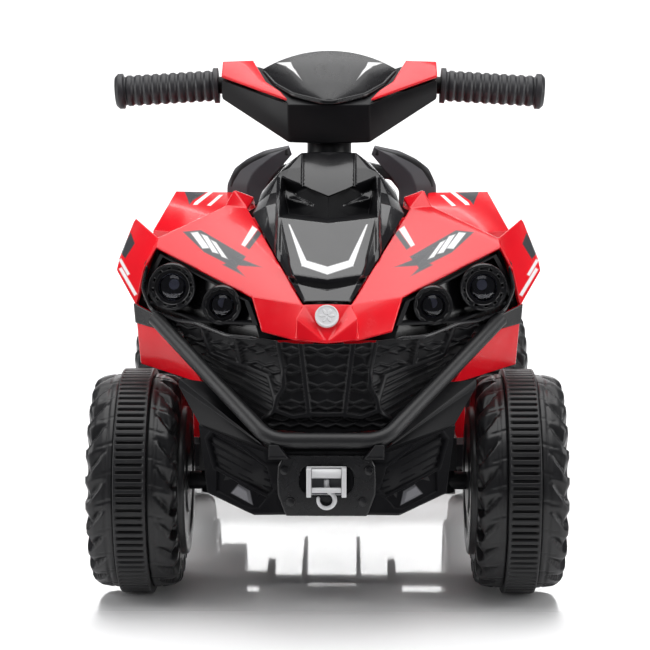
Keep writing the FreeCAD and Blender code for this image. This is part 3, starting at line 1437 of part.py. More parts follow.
side = size("gear_side_gap").value
case_wall = size("gearbox_wall").value
case_outer = -case_outer_x.value
case_split = -case_split_x.value
case_inner = -case_inner_x.value
coarse_start = case_outer + case_wall + side
coarse_end = coarse_start + size("coarse_face").value
fine_start = coarse_end + side
fine_end = fine_start + size("fine_face").value
to_output = math.radians(-train)
to_compound = math.radians(180 - train)
to_pinion = math.radians(180 - drive)
from_pinion = math.radians(-drive)
half_tooth = math.pi / WHEEL_TEETH
bore = size("axle_diameter").value + 2 * size("running_gap").value
pin_bore = size("gear_pin_diameter").value + 2 * size("running_gap").value


def output_gear():
    """The large gear on the driven wheel; its collar passes the casing and meets the wheel disc."""
    gear = gear_blank(coarse, WHEEL_TEETH, output_axis, coarse_start, coarse_end - coarse_start,
                      to_compound + half_tooth)
    collar = rod_x(size("output_collar_diameter").value, output_axis, -disc_x.value, coarse_start)
    return gear.fuse(collar).cut(rod_x(bore, output_axis, -disc_x.value, coarse_end)).removeSplitter()


def compound_gear():
    small = gear_blank(coarse, PINION_TEETH, compound_axis, coarse_start, fine_start - coarse_start,
                       to_output)
    large = gear_blank(fine, WHEEL_TEETH, compound_axis, fine_start, fine_end - fine_start,
                       to_pinion + half_tooth)
    return small.fuse(large).cut(rod_x(pin_bore, compound_axis, coarse_start, fine_end)).removeSplitter()


def motor_pinion():
    gear = gear_blank(fine, PINION_TEETH, pinion_axis, fine_start, fine_end - fine_start, from_pinion)
    tail = case_inner + size("motor_shaft_tail").value
    shaft = rod_x(size("motor_shaft_diameter").value, pinion_axis, fine_start, tail)
    return gear.fuse(shaft).removeSplitter()


def case_prism(shrink, x_start, x_end):
    """The casing outline round the three axes, carried along X."""
    reach = size("gearbox_reach").value - shrink
    height = size("gearbox_half_height").value - shrink
    spots = [output_axis + Vector(x_start, along * reach, up * height) for along, up in CASE_SHARES]
    return Part.Face(Part.makePolygon(spots + spots[:1])).extrude(Vector(x_end - x_start, 0, 0))


def gearbox_outer():
    room = case_prism(case_wall, case_outer + case_wall, case_split)
    shell = case_prism(0, case_outer, case_split).cut(room)
    hole = size("output_collar_diameter").value + 4 * gap.value
    return shell.cut(rod_x(hole, output_axis, case_outer, case_outer + case_wall))


def gearbox_inner():
    """The inner half carries the gear pin and a boss along the axle to the chassis."""
    room = case_prism(case_wall, case_split, case_inner - case_wall)
    shell = case_prism(0, case_split, case_inner).cut(room)
    boss = rod_x(size("gear_boss_diameter").value, output_axis, case_inner - case_wall, -plate_outer.value)
    pin_start = case_outer + case_wall + gap.value
    pin = rod_x(size("gear_pin_diameter").value, compound_axis, pin_start, case_inner)
    shaft_hole = size("motor_shaft_diameter").value + 4 * gap.value
    solid = shell.fuse([boss, pin]).cut(rod_x(shaft_hole, pinion_axis, case_split, case_inner))
    axle_hole = rod_x(size("axle_diameter").value, output_axis, case_split, -plate_inner.value)
    return solid.cut(axle_hole).removeSplitter()


def motor():
    end = case_inner + size("motor_length").value
    can = rod_x(size("motor_diameter").value, pinion_axis, case_inner, end)
    hole = size("motor_shaft_diameter").value + 4 * gap.value
    deep = case_inner + size("motor_shaft_tail").value + gap.value
    return can.cut(rod_x(hole, pinion_axis, case_inner, deep))


node(feature("output_gear", output_gear()))
node(feature("compound_gear", compound_gear()))
node(feature("motor_pinion", motor_pinion()))
node(feature("gearbox_outer", gearbox_outer()))
node(feature("gearbox_inner", gearbox_inner()))
node(feature("motor", motor()))

# Side panels: the red walls of the tunnel between the footwells, each with a bulkhead behind a front wheel.
core_y = front_axle_y + size("core_setback")
core_length = rear_axle_y - size("core_rear_setin") - core_y
core_frame = (ZERO, core_y, tub_top + gap)
core_spans = (size("core_span"), core_length, size("core_height"))
CORE_SHARES = {
    "front_low": (0.76, 0.16, 0.0), "rear_low": (0.76, 0.8984, 0.0), "rear_top": (0.80, 0.8984, 0.499),
    "seat_front": (0.72, 0.456, 0.486), "hood_rear": (0.635, 0.328, 0.759),
    "hood_front": (0.635, 0.04, 0.759), "front_mid": (0.72, 0.088, 0.409),
    "board_low": (1.28, 0.152, 0.019), "board_top": (1.28, 0.152, 0.309),
}
CORE_FACETS = [
    ("seat_front", "hood_rear", "hood_front"), ("seat_front", "hood_front", "front_mid"),
    ("seat_front", "front_mid", "front_low"), ("seat_front", "front_low", "rear_low"),
    ("seat_front", "rear_low", "rear_top"), ("front_mid", "board_top", "board_low", "front_low"),
]
core_points = spread(CORE_SHARES, core_frame, core_spans)
socket_wall = [core_points[name] for name in ("seat_front", "front_low", "rear_low")]
socket_facing = normal_of(socket_wall)
socket_y = core_y + size("socket_setback")
socket_z = size("socket_z")


def socket_x():
    """Where the socket's axis meets the left wall, found on the wall's own plane."""
    start = socket_wall[0]
    drop = socket_facing.y * (socket_y.value - start.y) + socket_facing.z * (socket_z.value - start.z)
    return start.x - drop / socket_facing.x


def socket_rod(diameter, x_start, x_end):
    start = Vector(x_start, socket_y.value, socket_z.value)
    return Part.makeCylinder(diameter.value / 2, x_end - x_start, start, Vector(1, 0, 0))


def socket_shape():
    """A charging socket: a flange outside the wall, a sleeve through it, and the plug's bore."""
    flange = size("socket_flange_diameter")
    lean = math.hypot(socket_facing.y, socket_facing.z) / socket_facing.x
    face = socket_x() + flange.value / 2 * lean + gap.value
    end = face + size("socket_flange_thickness").value
    solid = socket_rod(flange, face, end)
    solid = solid.fuse(socket_rod(size("socket_diameter"), end - size("socket_length").value, end))
    return solid.cut(socket_rod(size("socket_bore"), end - size("socket_bore_depth").value, end))


side_panel = feature("side_panel", shell_of(core_points, CORE_FACETS, size("core_wall").value))
socket_tool = feature("socket_tool", socket_rod(size("socket_diameter") + gap * 2, socket_x() - overrun.value,
                                                socket_x() + overrun.value))
left_panel = cut("left_side_panel", side_panel, socket_tool)
node(group("body_side_panels", left_panel, mirrored("right_side_panel", side_panel)))
node(feature("charge_socket", socket_shape()))

# Seat: a crowned saddle between the hood and the backrest.
SEAT_SHARES = ((0.0, 0.56, 0.45, 0.75), (0.25, 0.74, 0.35, 0.62), (0.55, 0.90, 0.32, 0.58),
               (0.8, 0.96, 0.36, 0.62), (1.0, 0.93, 0.62, 0.95))


def seat_shape():
    """Arched sections along the seat, drawn in at the sides towards the hood."""
    base = (core_frame[2] + core_spans[2] * CORE_SHARES["rear_top"][2] + gap).value
    height = size("seat_height").value
    front = (core_y + size("seat_setback")).value
    length = (rear_axle_y - size("seat_rear_setin")).value - front
    wires = []
    for along, half, edge, crest in SEAT_SHARES:
        y = front + along * length
        half_width = half * size("seat_half_width").value
        wires.append(arch(y, half_width, base + edge * height, base + crest * height, base))
    return Part.makeLoft(wires, True, True)


node(feature("seat", seat_shape()))

# Rear body: fenders over the rear wheels, a deck for the backrest, and the tail.
rear_frame = (ZERO, rear_y, ZERO)
rear_spans = (size("rear_span"), rear_length, size("rear_height"))
REAR_SHARES = {
    "well": (0.42, 0.0, 0.65), "inner_front": (0.5, 0.043, 0.755), "lip_in": (0.61, 0.026, 0.725),
    "tip": (0.93, 0.154, 0.73), "ridge_in": (0.515, 0.423, 0.8175), "ridge_out": (0.835, 0.423, 0.82),
    "seat_low": (0.45, 0.393, 0.655), "seat_mid_low": (0.0, 0.393, 0.655), "deck": (0.49, 0.402, 0.75),
    "deck_mid": (0.0, 0.402, 0.75), "deck_rear": (0.49, 0.615, 0.75), "deck_mid_rear": (0.0, 0.615, 0.75),
    "corner": (0.79, 0.829, 0.7625), "tail_side": (0.48, 0.957, 0.715), "tail_mid": (0.0, 0.991, 0.71),
    "hem": (0.95, 0.338, 0.655), "hem_rear": (0.90, 0.795, 0.64), "tip_low": (0.925, 0.171, 0.66),
    "lip_low": (0.59, 0.013, 0.64), "panel_side": (0.45, 0.970, 0.475), "panel_mid": (0.0, 1.0, 0.4625),
    "hem_corner": (0.785, 0.880, 0.555), "foot_mid": (0.0, 0.974, 0.35), "foot_side": (0.31, 0.957, 0.35),
}
REAR_FACETS = [
    ("deck_mid", "deck", "deck_rear", "deck_mid_rear"),
    ("deck_mid_rear", "deck_rear", "tail_side", "tail_mid"),
    ("seat_mid_low", "seat_low", "deck", "deck_mid"), ("well", "inner_front", "ridge_in", "deck", "seat_low"),
    ("deck", "ridge_in", "deck_rear"), ("ridge_in", "ridge_out", "corner", "tail_side", "deck_rear"),
    ("inner_front", "lip_in", "tip", "ridge_out", "ridge_in"),
    ("tip", "tip_low", "hem", "hem_rear", "corner", "ridge_out"),
    ("lip_in", "lip_low", "tip_low", "tip"), ("well", "lip_low", "lip_in", "inner_front"),
    ("panel_mid", "tail_mid", "tail_side", "panel_side"),
    ("foot_mid", "panel_mid", "panel_side", "foot_side"),
    ("panel_side", "tail_side", "corner", "hem_rear", "hem_corner"),
]
rear_points = spread(REAR_SHARES, rear_frame, rear_spans)
node(feature("rear_fenders", shell_of(*both_sides(rear_points, REAR_FACETS), size("body_wall").value)))

# Backrest: two horns and a panel between them, with a hand gap under the panel.
BACKREST_SHARES = ((0.74, 0.0), (1.0, 0.0), (1.0, 0.34), (1.13, 0.42), (1.10, 0.60), (0.98, 0.77),
                   (0.80, 0.89), (0.475, 1.0), (0.455, 0.885), (0.74, 0.675), (0.30, 0.80))
BACKREST_GAP_SHARES = ((0.64, 0.54), (0.74, 0.38))
half_back = rear_spans[0] * REAR_SHARES["deck"][0] - gap
deck_z = rear_spans[2] * REAR_SHARES["deck"][2]
tall_back = size("backrest_height")
left_outline = [(half_back * across, tall_back * up) for across, up in BACKREST_SHARES]
right_outline = [(half_back * -across, tall_back * up) for across, up in reversed(BACKREST_SHARES)]
gap_outline = [(half_back * -across, tall_back * up) for across, up in reversed(BACKREST_GAP_SHARES)]
gap_outline += [(half_back * across, tall_back * up) for across, up in BACKREST_GAP_SHARES]
backrest = pad("backrest", "XZ_Plane", left_outline + right_outline + gap_outline, size("backrest_thickness"))
node(place(backrest, y=rear_y + size("backrest_setback") + size("backrest_thickness"), z=deck_z + gap))

# Every object has to be sound before anything is written.
doc.recompute()
for item in doc.Objects:
    if "Invalid" in item.State or "Error" in item.State:
        raise RuntimeError(f"{item.Label} failed: {item.State}")
for item in NODES:
    if item.Shape.isNull() or not item.Shape.isValid():
        raise RuntimeError(f"{item.Label} has no sound shape")

os.makedirs("parts", exist_ok=True)
for item in NODES:
    item.Shape.exportStep(f"parts/{item.Label}.step")
    print(item.Label, len(item.Shape.Solids), "solids", round(item.Shape.Volume / 1000, 1), "cm3")
print(len(NODES), "sub-parts")
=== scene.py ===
# %% [markdown]
# # A kids quad bike, dressed for the studio
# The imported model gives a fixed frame: every piece has a name, a body and a place. This lesson keeps that
# frame as it is and dresses it: moulded panels get rounded edges, the tyres get their lugs, the grille its
# lattice, and each plastic a finish of its own. Lengths are in metres, and the bike faces -Y.

import json
import math

import bmesh
import bpy
import numpy as np
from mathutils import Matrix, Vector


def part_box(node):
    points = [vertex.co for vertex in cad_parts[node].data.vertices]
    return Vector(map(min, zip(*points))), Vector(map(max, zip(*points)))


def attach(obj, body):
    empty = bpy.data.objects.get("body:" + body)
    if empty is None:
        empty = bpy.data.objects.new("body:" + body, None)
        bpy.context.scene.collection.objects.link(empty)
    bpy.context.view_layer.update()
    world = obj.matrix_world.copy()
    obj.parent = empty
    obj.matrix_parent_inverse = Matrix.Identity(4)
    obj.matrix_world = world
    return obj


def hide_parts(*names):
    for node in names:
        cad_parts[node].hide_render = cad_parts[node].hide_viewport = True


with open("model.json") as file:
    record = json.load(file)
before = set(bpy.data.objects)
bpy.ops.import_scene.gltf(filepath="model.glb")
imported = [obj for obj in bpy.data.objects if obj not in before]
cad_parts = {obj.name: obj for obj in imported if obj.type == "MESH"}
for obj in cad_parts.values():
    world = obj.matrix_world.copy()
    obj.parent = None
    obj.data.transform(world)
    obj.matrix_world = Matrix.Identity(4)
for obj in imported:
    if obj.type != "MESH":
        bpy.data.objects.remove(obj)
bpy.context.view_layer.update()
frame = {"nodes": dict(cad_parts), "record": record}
nodes = frame["nodes"]
node_body = {node: body for body, names in frame["record"]["behaviour"]["bodies"].items() for node in names}
node_slot = {item["node"]: item["material_slot"] for item in frame["record"]["subparts"]}
MM = 0.001

# %% [markdown]
# ## Surfaces from two parameters
# The mouldings of the real bike are thin curved shells. They could be pushed into shape by hand in edit mode,
# but then no size could be read or changed later. So a new piece is a grid of points: a function of u and v,
# worked out for the whole grid at once. Rows and columns can close on themselves, so one helper makes tubes,
# rings, discs and panels. Where a grid ends in a point, its last row is welded to close the pole.

# %% Grid helper


def grid_faces(rows, columns, close_rows, close_columns):
    """Index quads (i,j),(i,j+1),(i+1,j+1),(i+1,j) over a rows x columns grid, wrapped where it closes."""
    i, j = np.meshgrid(np.arange(rows - (not close_rows)), np.arange(columns - (not close_columns)), indexing="ij")
    below, beside = (i + 1) % rows, (j + 1) % columns
    corners = [i * columns + j, i * columns + beside, below * columns + beside, below * columns + j]
    return np.stack(corners, axis=-1).reshape(-1, 4)


def surface(name, points, close_rows=False, close_columns=False, flip=False, weld=False):
    """A mesh through points[i, j] = P(u_i, v_j); weld joins the points that fall on one spot."""
    rows, columns = points.shape[:2]
    faces = grid_faces(rows, columns, close_rows, close_columns)
    if flip:
        faces = faces[:, ::-1]
    mesh = bpy.data.meshes.new(name)
    mesh.from_pydata(points.reshape(-1, 3).tolist(), [], faces.tolist())
    mesh.polygons.foreach_set("use_smooth", np.ones(len(faces), dtype=bool))
    mesh.update()
    if weld:
        work = bmesh.new()
        work.from_mesh(mesh)
        bmesh.ops.remove_doubles(work, verts=work.verts, dist=1e-7)
        work.to_mesh(mesh)
        work.free()
    piece = bpy.data.objects.new(name, mesh)
    bpy.context.scene.collection.objects.link(piece)
    return piece


print("grid helper ready")

# %% [markdown]
# ## Dressing a piece
# A real part is screwed to something that moves, has a wall, and is made of one material. The same three things are
# set on every new piece: the body it rides with, a wall behind its face, and its finish. One helper for each keeps
# the later cells short.

# %% Dressing helpers


def smooth_step(low, high, value):
    """3t^2 - 2t^3 with t = (value - low) / (high - low), held between 0 and 1."""
    t = np.clip((value - low) / (high - low), 0.0, 1.0)
    return t * t * (3.0 - 2.0 * t)


def wear(piece, body, slot, material, *replaced):
    """Give a piece its body and its finish, and hide the CAD nodes it stands for; the slot argument is not used."""
    piece.data.materials.clear()
    piece.data.materials.append(material)
    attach(piece, body)
    if replaced:
        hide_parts(*replaced)
    return piece


def thicken(piece, depth):
    """Give a thin panel a real wall behind its face."""
    wall = piece.modifiers.new("wall", "SOLIDIFY")
    wall.thickness = depth
    wall.offset = -1.0
    return piece


print("dressing helpers ready")

# %% [markdown]
# ## Shader sums
# A finish is a graph of nodes, and long graphs are hard to read when every link is written out. Here sums are
# written as sums: `Value` wraps one socket, so that `a * 2 + b` adds the Math nodes, and `Graph` makes any other
# node by its type, its settings and its sockets. The same class serves the materials and the world.

# %% Sums on sockets


class Value:
    """One shader socket with arithmetic: each operator adds a Math node."""

    def __init__(self, graph, socket):
        self.graph = graph
        self.socket = socket

    def calc(self, operation, *others):
        return self.graph.make("ShaderNodeMath", 0, (self,) + others, operation=operation)

    def __add__(self, other):
        return self.calc("ADD", other)

    def __sub__(self, other):
        return self.calc("SUBTRACT", other)

    def __rsub__(self, other):
        return self * -1.0 + other

    def __mul__(self, other):
        return self.calc("MULTIPLY", other)

    def __truediv__(self, other):
        return self.calc("DIVIDE", other)

    def __rtruediv__(self, other):
        return self.calc("POWER", -1.0) * other

    def __neg__(self):
        return self * -1.0

    __radd__ = __add__
    __rmul__ = __mul__

    def size(self):
        return self.calc("ABSOLUTE")

    def least(self, other):
        return self.calc("MINIMUM", other)

    def most(self, other):
        return self.calc("MAXIMUM", other)

    def between(self, low, high):
        """0 below low, 1 above high, and a straight ramp between."""
        return ((self - low) / (high - low)).most(0.0).least(1.0)


print("socket sums ready")

# %% Graphs of nodes


class Graph:
    """The node tree of one material, or of the world."""

    def __init__(self, owner):
        owner.use_nodes = True
        self.owner = owner
        self.tree = owner.node_tree
        self.shader = self.tree.nodes.get("Principled BSDF") or self.tree.nodes["Background"]

    def feed(self, socket, item):
        if isinstance(item, Value):
            self.tree.links.new(item.socket, socket)
        else:
            socket.default_value = item

    def make(self, kind, output, inputs=(), **settings):
        """Add a node: settings as properties, then inputs by place or by name; returns one output or a list."""
        node = self.tree.nodes.new(kind)
        for key, setting in settings.items():
            setattr(node, key, setting)
        pairs = inputs.items() if isinstance(inputs, dict) else enumerate(inputs)
        for key, item in pairs:
            self.feed(node.inputs[key], item)
        if isinstance(output, (list, tuple)):
            return [Value(self, node.outputs[key]) for key in output]
        return Value(self, node.outputs[output])

    def place(self):
        """Object coordinates as a vector and as x, y, z."""
        where = self.make("ShaderNodeTexCoord", "Object")
        return where, self.make("ShaderNodeSeparateXYZ", ["X", "Y", "Z"], [where])

    def noise(self, where, scale, detail=3.0, roughness=0.5):
        return self.make("ShaderNodeTexNoise", 0, {"Vector": where, "Scale": scale, "Detail": detail,
                                                   "Roughness": roughness})

    def mix(self, share, first, second):
        """A colour between two others."""
        return self.make("ShaderNodeMix", 2, {0: share, 6: first, 7: second}, data_type="RGBA")

    def set(self, **sockets):
        for name, item in sockets.items():
            self.feed(self.shader.inputs[name.replace("_", " ")], item)
        return self

    def bump(self, height, strength, distance):
        normal = self.make("ShaderNodeBump", 0, {"Height": height, "Strength": strength, "Distance": distance})
        self.feed(self.shader.inputs["Normal"], normal)
        return self


print("graph helper ready")

# %% [markdown]
# ## Finishes
# Nearly all of the bike is moulded plastic, and no moulding is one flat colour. A slow cloud shifts the tint and
# the gloss, a fine grain lifts the normal, and smears leave a little dust. Pictures could be wrapped round the
# panels instead, but a formula stays sharp at any size. Marks such as stripes are drawn as outlines in the
# bike's own x and z, so they stay with the panel when it moves.

# %% Outlines as masks


def inside(x, z, corners, edge=0.0005):
    """A mask for a convex outline: the least signed distance to its sides, ramped over one edge width."""
    middle = np.mean(corners, axis=0)
    least = None
    for (x0, z0), (x1, z1) in zip(corners, corners[1:] + corners[:1]):
        length = math.hypot(x1 - x0, z1 - z0)
        a, b = (z1 - z0) / length, (x0 - x1) / length
        c = -(a * x0 + b * z0)
        sign = 1.0 if a * middle[0] + b * middle[1] + c > 0 else -1.0
        distance = x * (a * sign) + z * (b * sign) + c * sign
        least = distance if least is None else least.least(distance)
    return least.between(-edge, edge)


print("mask maker ready")

# %% Plastic, metal and glass


def plastic(name, colour, roughness, grain=900.0, depth=0.00004, coat=0.0, marks=None, dust=0.03, shine=0.5):
    """A moulded plastic: colour * cloud, roughness + cloud + dust, grain in the normal, then painted marks."""
    graph = Graph(bpy.data.materials.new(name))
    where, (x, y, z) = graph.place()
    cloud = graph.noise(where, 11.0)
    fine = graph.noise(where, grain, 2.0)
    smear = graph.noise(where, 46.0, 5.0, 0.65)
    low = [share * 0.86 for share in colour] + [1.0]
    high = [min(share * 1.10, 1.0) for share in colour] + [1.0]
    base = graph.mix(cloud.between(0.3, 0.7), low, high)
    base = graph.mix(smear.between(0.55, 0.9) * dust, base, (0.55, 0.53, 0.5, 1.0))
    rough = (cloud - 0.5) * 0.10 + smear.between(0.5, 0.85) * 0.10 + roughness
    for mask, mark in (marks(graph, x, y, z) if marks else []):
        base = graph.mix(mask, base, mark)
        rough = rough + mask * 0.06
    graph.set(Base_Color=base, Roughness=rough.most(0.02), Coat_Weight=coat, Coat_Roughness=0.05,
              Specular_IOR_Level=shine)
    return graph.bump(fine, 0.3, depth).owner


def metal(name, colour, roughness, stretch):
    """Brushed or painted metal: streaks along one axis in tint and gloss."""
    graph = Graph(bpy.data.materials.new(name))
    where, _ = graph.place()
    spun = graph.make("ShaderNodeMapping", 0, {"Vector": where, "Scale": stretch})
    streak = graph.noise(spun, 60.0, 4.0)
    base = graph.mix(streak, [share * 0.8 for share in colour] + [1.0], list(colour) + [1.0])
    graph.set(Base_Color=base, Roughness=(streak - 0.5) * 0.18 + roughness, Metallic=1.0)
    return graph.bump(streak, 0.08, 0.0001).owner


def glass(name, tint):
    """Clear moulded lens: a faint flow ripple and a slightly uneven polish."""
    graph = Graph(bpy.data.materials.new(name))
    where, _ = graph.place()
    flow = graph.noise(where, 40.0, 2.0)
    graph.set(Base_Color=graph.mix(flow, [share * 0.94 for share in tint] + [1.0], list(tint) + [1.0]),
              Roughness=flow * 0.03 + 0.005, Transmission_Weight=1.0, IOR=1.49)
    return graph.bump(flow, 0.05, 0.0004).owner


print("finish makers ready")

# %% [markdown]
# ## Printed marks, and one of painted shade
# The real panels carry stuck-on film in white and grey. A picture of it could be laid over the panel, but its
# edges would blur close up. Each mark is a convex outline instead, given by its corners in millimetres, and the
# mirror of x draws both sides at once. One mark is not film: the dark bed of the winch's fairlead is painted
# shade between its posts.

# %% Marks on the fairing and the fenders
WHITE = (0.86, 0.86, 0.86, 1.0)
# Dark grey for printed film, and for the painted shade on the fairlead's bed.
SLATE_INK_AND_SHADE = (0.045, 0.047, 0.052, 1.0)


def in_metres(*corners):
    return [(a * MM, b * MM) for a, b in corners]


def fairing_marks(graph, x, y, z):
    """Blades and bars on the sloping fairing, mirrored by |x|; the wings carry one blade and two bars."""
    side = x.size()
    grey = [in_metres((129, 322.3), (113, 323.8), (71, 304.6), (79, 296.0), (108, 307.4)),
            in_metres((88, 307), (57, 297.2), (76, 298.0)), in_metres((84, 301), (71, 290.6), (91, 298.6)),
            in_metres((62.2, 324.2), (58.6, 321.6), (68.6, 309.6), (72.2, 311.6)),
            in_metres((177, 320), (172.5, 311), (181.5, 297), (187, 302))]
    white = [in_metres((121.5, 321.6), (115.5, 322.2), (104.0, 310.6), (109.6, 310.2)),
             in_metres((112.0, 320.6), (106.6, 319.2), (95.4, 306.6), (100.6, 307.6)),
             in_metres((103.0, 316.4), (98.4, 314.6), (87.2, 303.0), (92.0, 304.4)),
             in_metres((67.3, 327.2), (62.6, 324.6), (72.6, 311.8), (75.8, 313.2)),
             in_metres((187.5, 287.5), (184.8, 289.2), (168.3, 268.7), (171.0, 267.0)),
             in_metres((188.0, 295.0), (185.6, 296.6), (176.3, 284.6), (178.7, 283.0))]
    outer = graph.make("ShaderNodeAttribute", "Fac", attribute_name="outer")
    return ([(inside(side, z, corners) * outer, SLATE_INK_AND_SHADE) for corners in grey]
            + [(inside(side, z, corners) * outer, WHITE) for corners in white])


def fender_marks(graph, x, y, z):
    """One grey corner and two white bars on each rear fender, seen from above."""
    side = x.size()
    grey = [in_metres((158, 205), (134, 203), (150, 172))]
    white = [in_metres((132, 204), (127, 204), (141, 168), (146, 170)),
             in_metres((120, 196), (116, 196), (127, 164), (131, 165))]
    return ([(inside(side, y, corners), SLATE_INK_AND_SHADE) for corners in grey]
            + [(inside(side, y, corners), WHITE) for corners in white])


print("body marks drawn")

# %% Marks on the hood, the dome and the winch


def hood_marks(graph, x, y, z):
    """A white chevron on the lower plate: two tapering arms and a foot, mirrored by |x|."""
    side = x.size()
    arms = [in_metres((34.6, 330.2), (33.6, 330.2), (18.2, 303.6), (21.8, 299.8)),
            in_metres((21.8, 299.8), (18.2, 303.6), (-1.0, 299.0), (-1.0, 293.6))]
    return [(inside(side, z, corners), WHITE) for corners in arms]


def dome_marks(graph, x, y, z):
    """A flash of two joined wedges near each upper corner of the dome."""
    side = x.size()
    wedges = [in_metres((51, -60), (36, -67), (33, -77), (44, -66)), in_metres((40, -70), (27, -88), (35, -72))]
    return [(inside(side, y, corners), WHITE) for corners in wedges]


def lead_painted_shade(graph, x, y, z):
    """The bed between the fairlead's posts is painted dark, as painted shade."""
    return [(inside(x.size(), z, in_metres((12.4, 141.5), (-1.0, 141.5), (-1.0, 119.0), (12.4, 119.0))), SLATE_INK_AND_SHADE)]


print("hood, dome and winch marks drawn")

# %% [markdown]
# ## The finishes of this bike
# The body is red gloss, the hood a deeper black gloss, the structure satin black, and the toy winch a silver paint
# on plastic. One finish could serve all the blacks, but then the shapes would run together. The blacks differ in
# roughness and shine, as moulds of different polish do, so that each piece stays apart from the next. The darkest
# and dullest black is painted shade, for parts that sit in shadow.

# %% Body and trim finishes
red_body = plastic("red_gloss", (0.76, 0.005, 0.014), 0.22, coat=0.15, shine=0.35)
red_fairing = plastic("red_gloss_marked", (0.76, 0.005, 0.014), 0.22, coat=0.15, shine=0.35, marks=fairing_marks)
red_fender = plastic("red_gloss_fender", (0.76, 0.005, 0.014), 0.22, coat=0.15, shine=0.35, marks=fender_marks)
hood_black = plastic("hood_gloss", (0.008, 0.008, 0.009), 0.20, coat=0.25, marks=hood_marks, dust=0.01, shine=0.4)
dome_black = plastic("dome_gloss", (0.008, 0.008, 0.009), 0.26, coat=0.1, marks=dome_marks, dust=0.01, shine=0.4)
gloss_black = plastic("black_gloss", (0.007, 0.007, 0.008), 0.26, coat=0.1, dust=0.01, shine=0.35)
satin_black = plastic("black_satin", (0.006, 0.006, 0.007), 0.38, grain=1400.0, depth=0.00008, dust=0.012, shine=0.18)
# The darkest, dullest black is painted shade: it darkens the lamp pods and the pocket under the hood's visor, which
# sit in shadow.
painted_shade_black = plastic("painted_shade_black", (0.005, 0.005, 0.006), 0.50, grain=1400.0, depth=0.00008, dust=0.01, shine=0.12)
print("body finishes ready")

# %% Wheel, metal and small-part finishes
tyre_black = plastic("tyre_moulding", (0.009, 0.009, 0.010), 0.34, grain=700.0, depth=0.00008, dust=0.02, shine=0.4)
band_black = plastic("band_rubber", (0.010, 0.010, 0.011), 0.38, grain=1100.0, depth=0.00005, dust=0.02, shine=0.35)
grip_black = plastic("grip_rubber", (0.018, 0.018, 0.021), 0.45, grain=1600.0, depth=0.00006, dust=0.02, shine=0.5)
seat_black = plastic("seat_moulding", (0.010, 0.010, 0.011), 0.45, grain=420.0, depth=0.0003, dust=0.02, shine=0.35)
cap_silver = plastic("cap_silver", (0.42, 0.42, 0.43), 0.30, coat=0.2)
silver = plastic("silver_trim", (0.62, 0.62, 0.63), 0.30, coat=0.2, dust=0.05)
# The fairlead's silver carries painted shade on the bed between its posts.
lead_silver_shaded = plastic("silver_lead_shaded", (0.62, 0.62, 0.63), 0.30, coat=0.2, dust=0.05, marks=lead_painted_shade)
# A lighter black than the backrest's own, for the backrest's arms: painted light.
arm_lit_black = plastic("arm_moulding_painted_light", (0.040, 0.038, 0.044), 0.42, grain=900.0, depth=0.0001, dust=0.02, shine=0.5)
bar_black = plastic("bar_black", (0.007, 0.007, 0.008), 0.44, dust=0.01, shine=0.45)
steel = metal("steel", (0.55, 0.55, 0.56), 0.32, (1.0, 12.0, 12.0))
lens_glass = glass("lens_clear", (0.62, 0.64, 0.76))
led_white = plastic("led_white", (0.80, 0.81, 0.84), 0.25)
nylon = plastic("gear_nylon", (0.66, 0.64, 0.56), 0.45)
button_red = plastic("button_red", (0.60, 0.012, 0.014), 0.28)
battery_grey = plastic("battery_case", (0.05, 0.05, 0.055), 0.5)
print("small-part finishes ready")

# %% [markdown]
# ## A finish for every node
# Each CAD node names a slot in the record. Looking the finish up by that slot keeps both in step, which setting
# the finishes one by one would not.

# %% Give each node its finish
by_slot = {"red_body": red_body, "black_gloss": gloss_black, "black_satin": satin_black, "tyre_plastic": tyre_black,
           "band_rubber": band_black, "grip_rubber": grip_black, "cap_silver": cap_silver, "steel": steel,
           "silver_trim": silver, "lens_clear": lens_glass, "led_white": led_white, "button_red": button_red,
           "gear_nylon": nylon, "battery_case": battery_grey, "seat_black": seat_black}
for name, item in nodes.items():
    item.data.materials.clear()
    item.data.materials.append(by_slot[node_slot[name]])
print(len(by_slot), "finishes on", len(nodes), "nodes")

# %% [markdown]
# ## Wheels
# The real wheel is a hollow plastic moulding with a rubber band pressed into a groove, so that it grips. A lug could
# be modelled once and arrayed round the wheel, but its root would not blend into the shoulder. So a tyre is one
# surface of revolution with relief: u runs round the wheel and v across the tread.

# %% Round-the-axle helpers
LUGS = 24
RIBS = 96
TYRE_PROFILE = np.array([(38.0, 63.0), (38.6, 67.0), (39.0, 74.0), (39.0, 82.0), (38.4, 87.4), (36.4, 91.0),
                         (31.5, 93.4), (24.0, 94.6), (15.0, 95.2), (14.6, 94.0), (0.0, 94.0)])
INNER_DISC = np.array([(-44.5, 5.4), (-44.5, 28.0), (-42.6, 30.0), (-42.6, 50.0), (-44.5, 52.0), (-44.5, 64.2),
                       (-43.2, 66.0), (-38.4, 66.2)])
OUTER_LIP = np.array([(36.0, 62.4), (31.6, 62.0)])


def along_profile(profile, count):
    """Points at even steps of length along a polyline, P(t)."""
    steps = np.hypot(*np.diff(profile, axis=0).T)
    length = np.concatenate([[0.0], np.cumsum(steps)])
    t = np.linspace(0.0, length[-1], count)
    return np.stack([np.interp(t, length, profile[:, 0]), np.interp(t, length, profile[:, 1])], axis=-1)


def around_x(across, radius, angle, centre, side):
    """P = centre + (side a, r cos u, r sin u)."""
    x = centre[0] + side * across
    return np.stack([x + 0.0 * radius, centre[1] + radius * np.cos(angle), centre[2] + radius * np.sin(angle)],
                    axis=-1) * MM


print("wheel helpers ready")

# %% [markdown]
# ## Tyres
# The lugs lean with the distance from the middle and are scooped deeper towards the shoulder. They are a repeating
# pattern in u, cut down from the profile, so their number is one constant.

# %% Tyre
SCOOP_DEPTH = 5.6
SEAM_DEPTH = 0.9


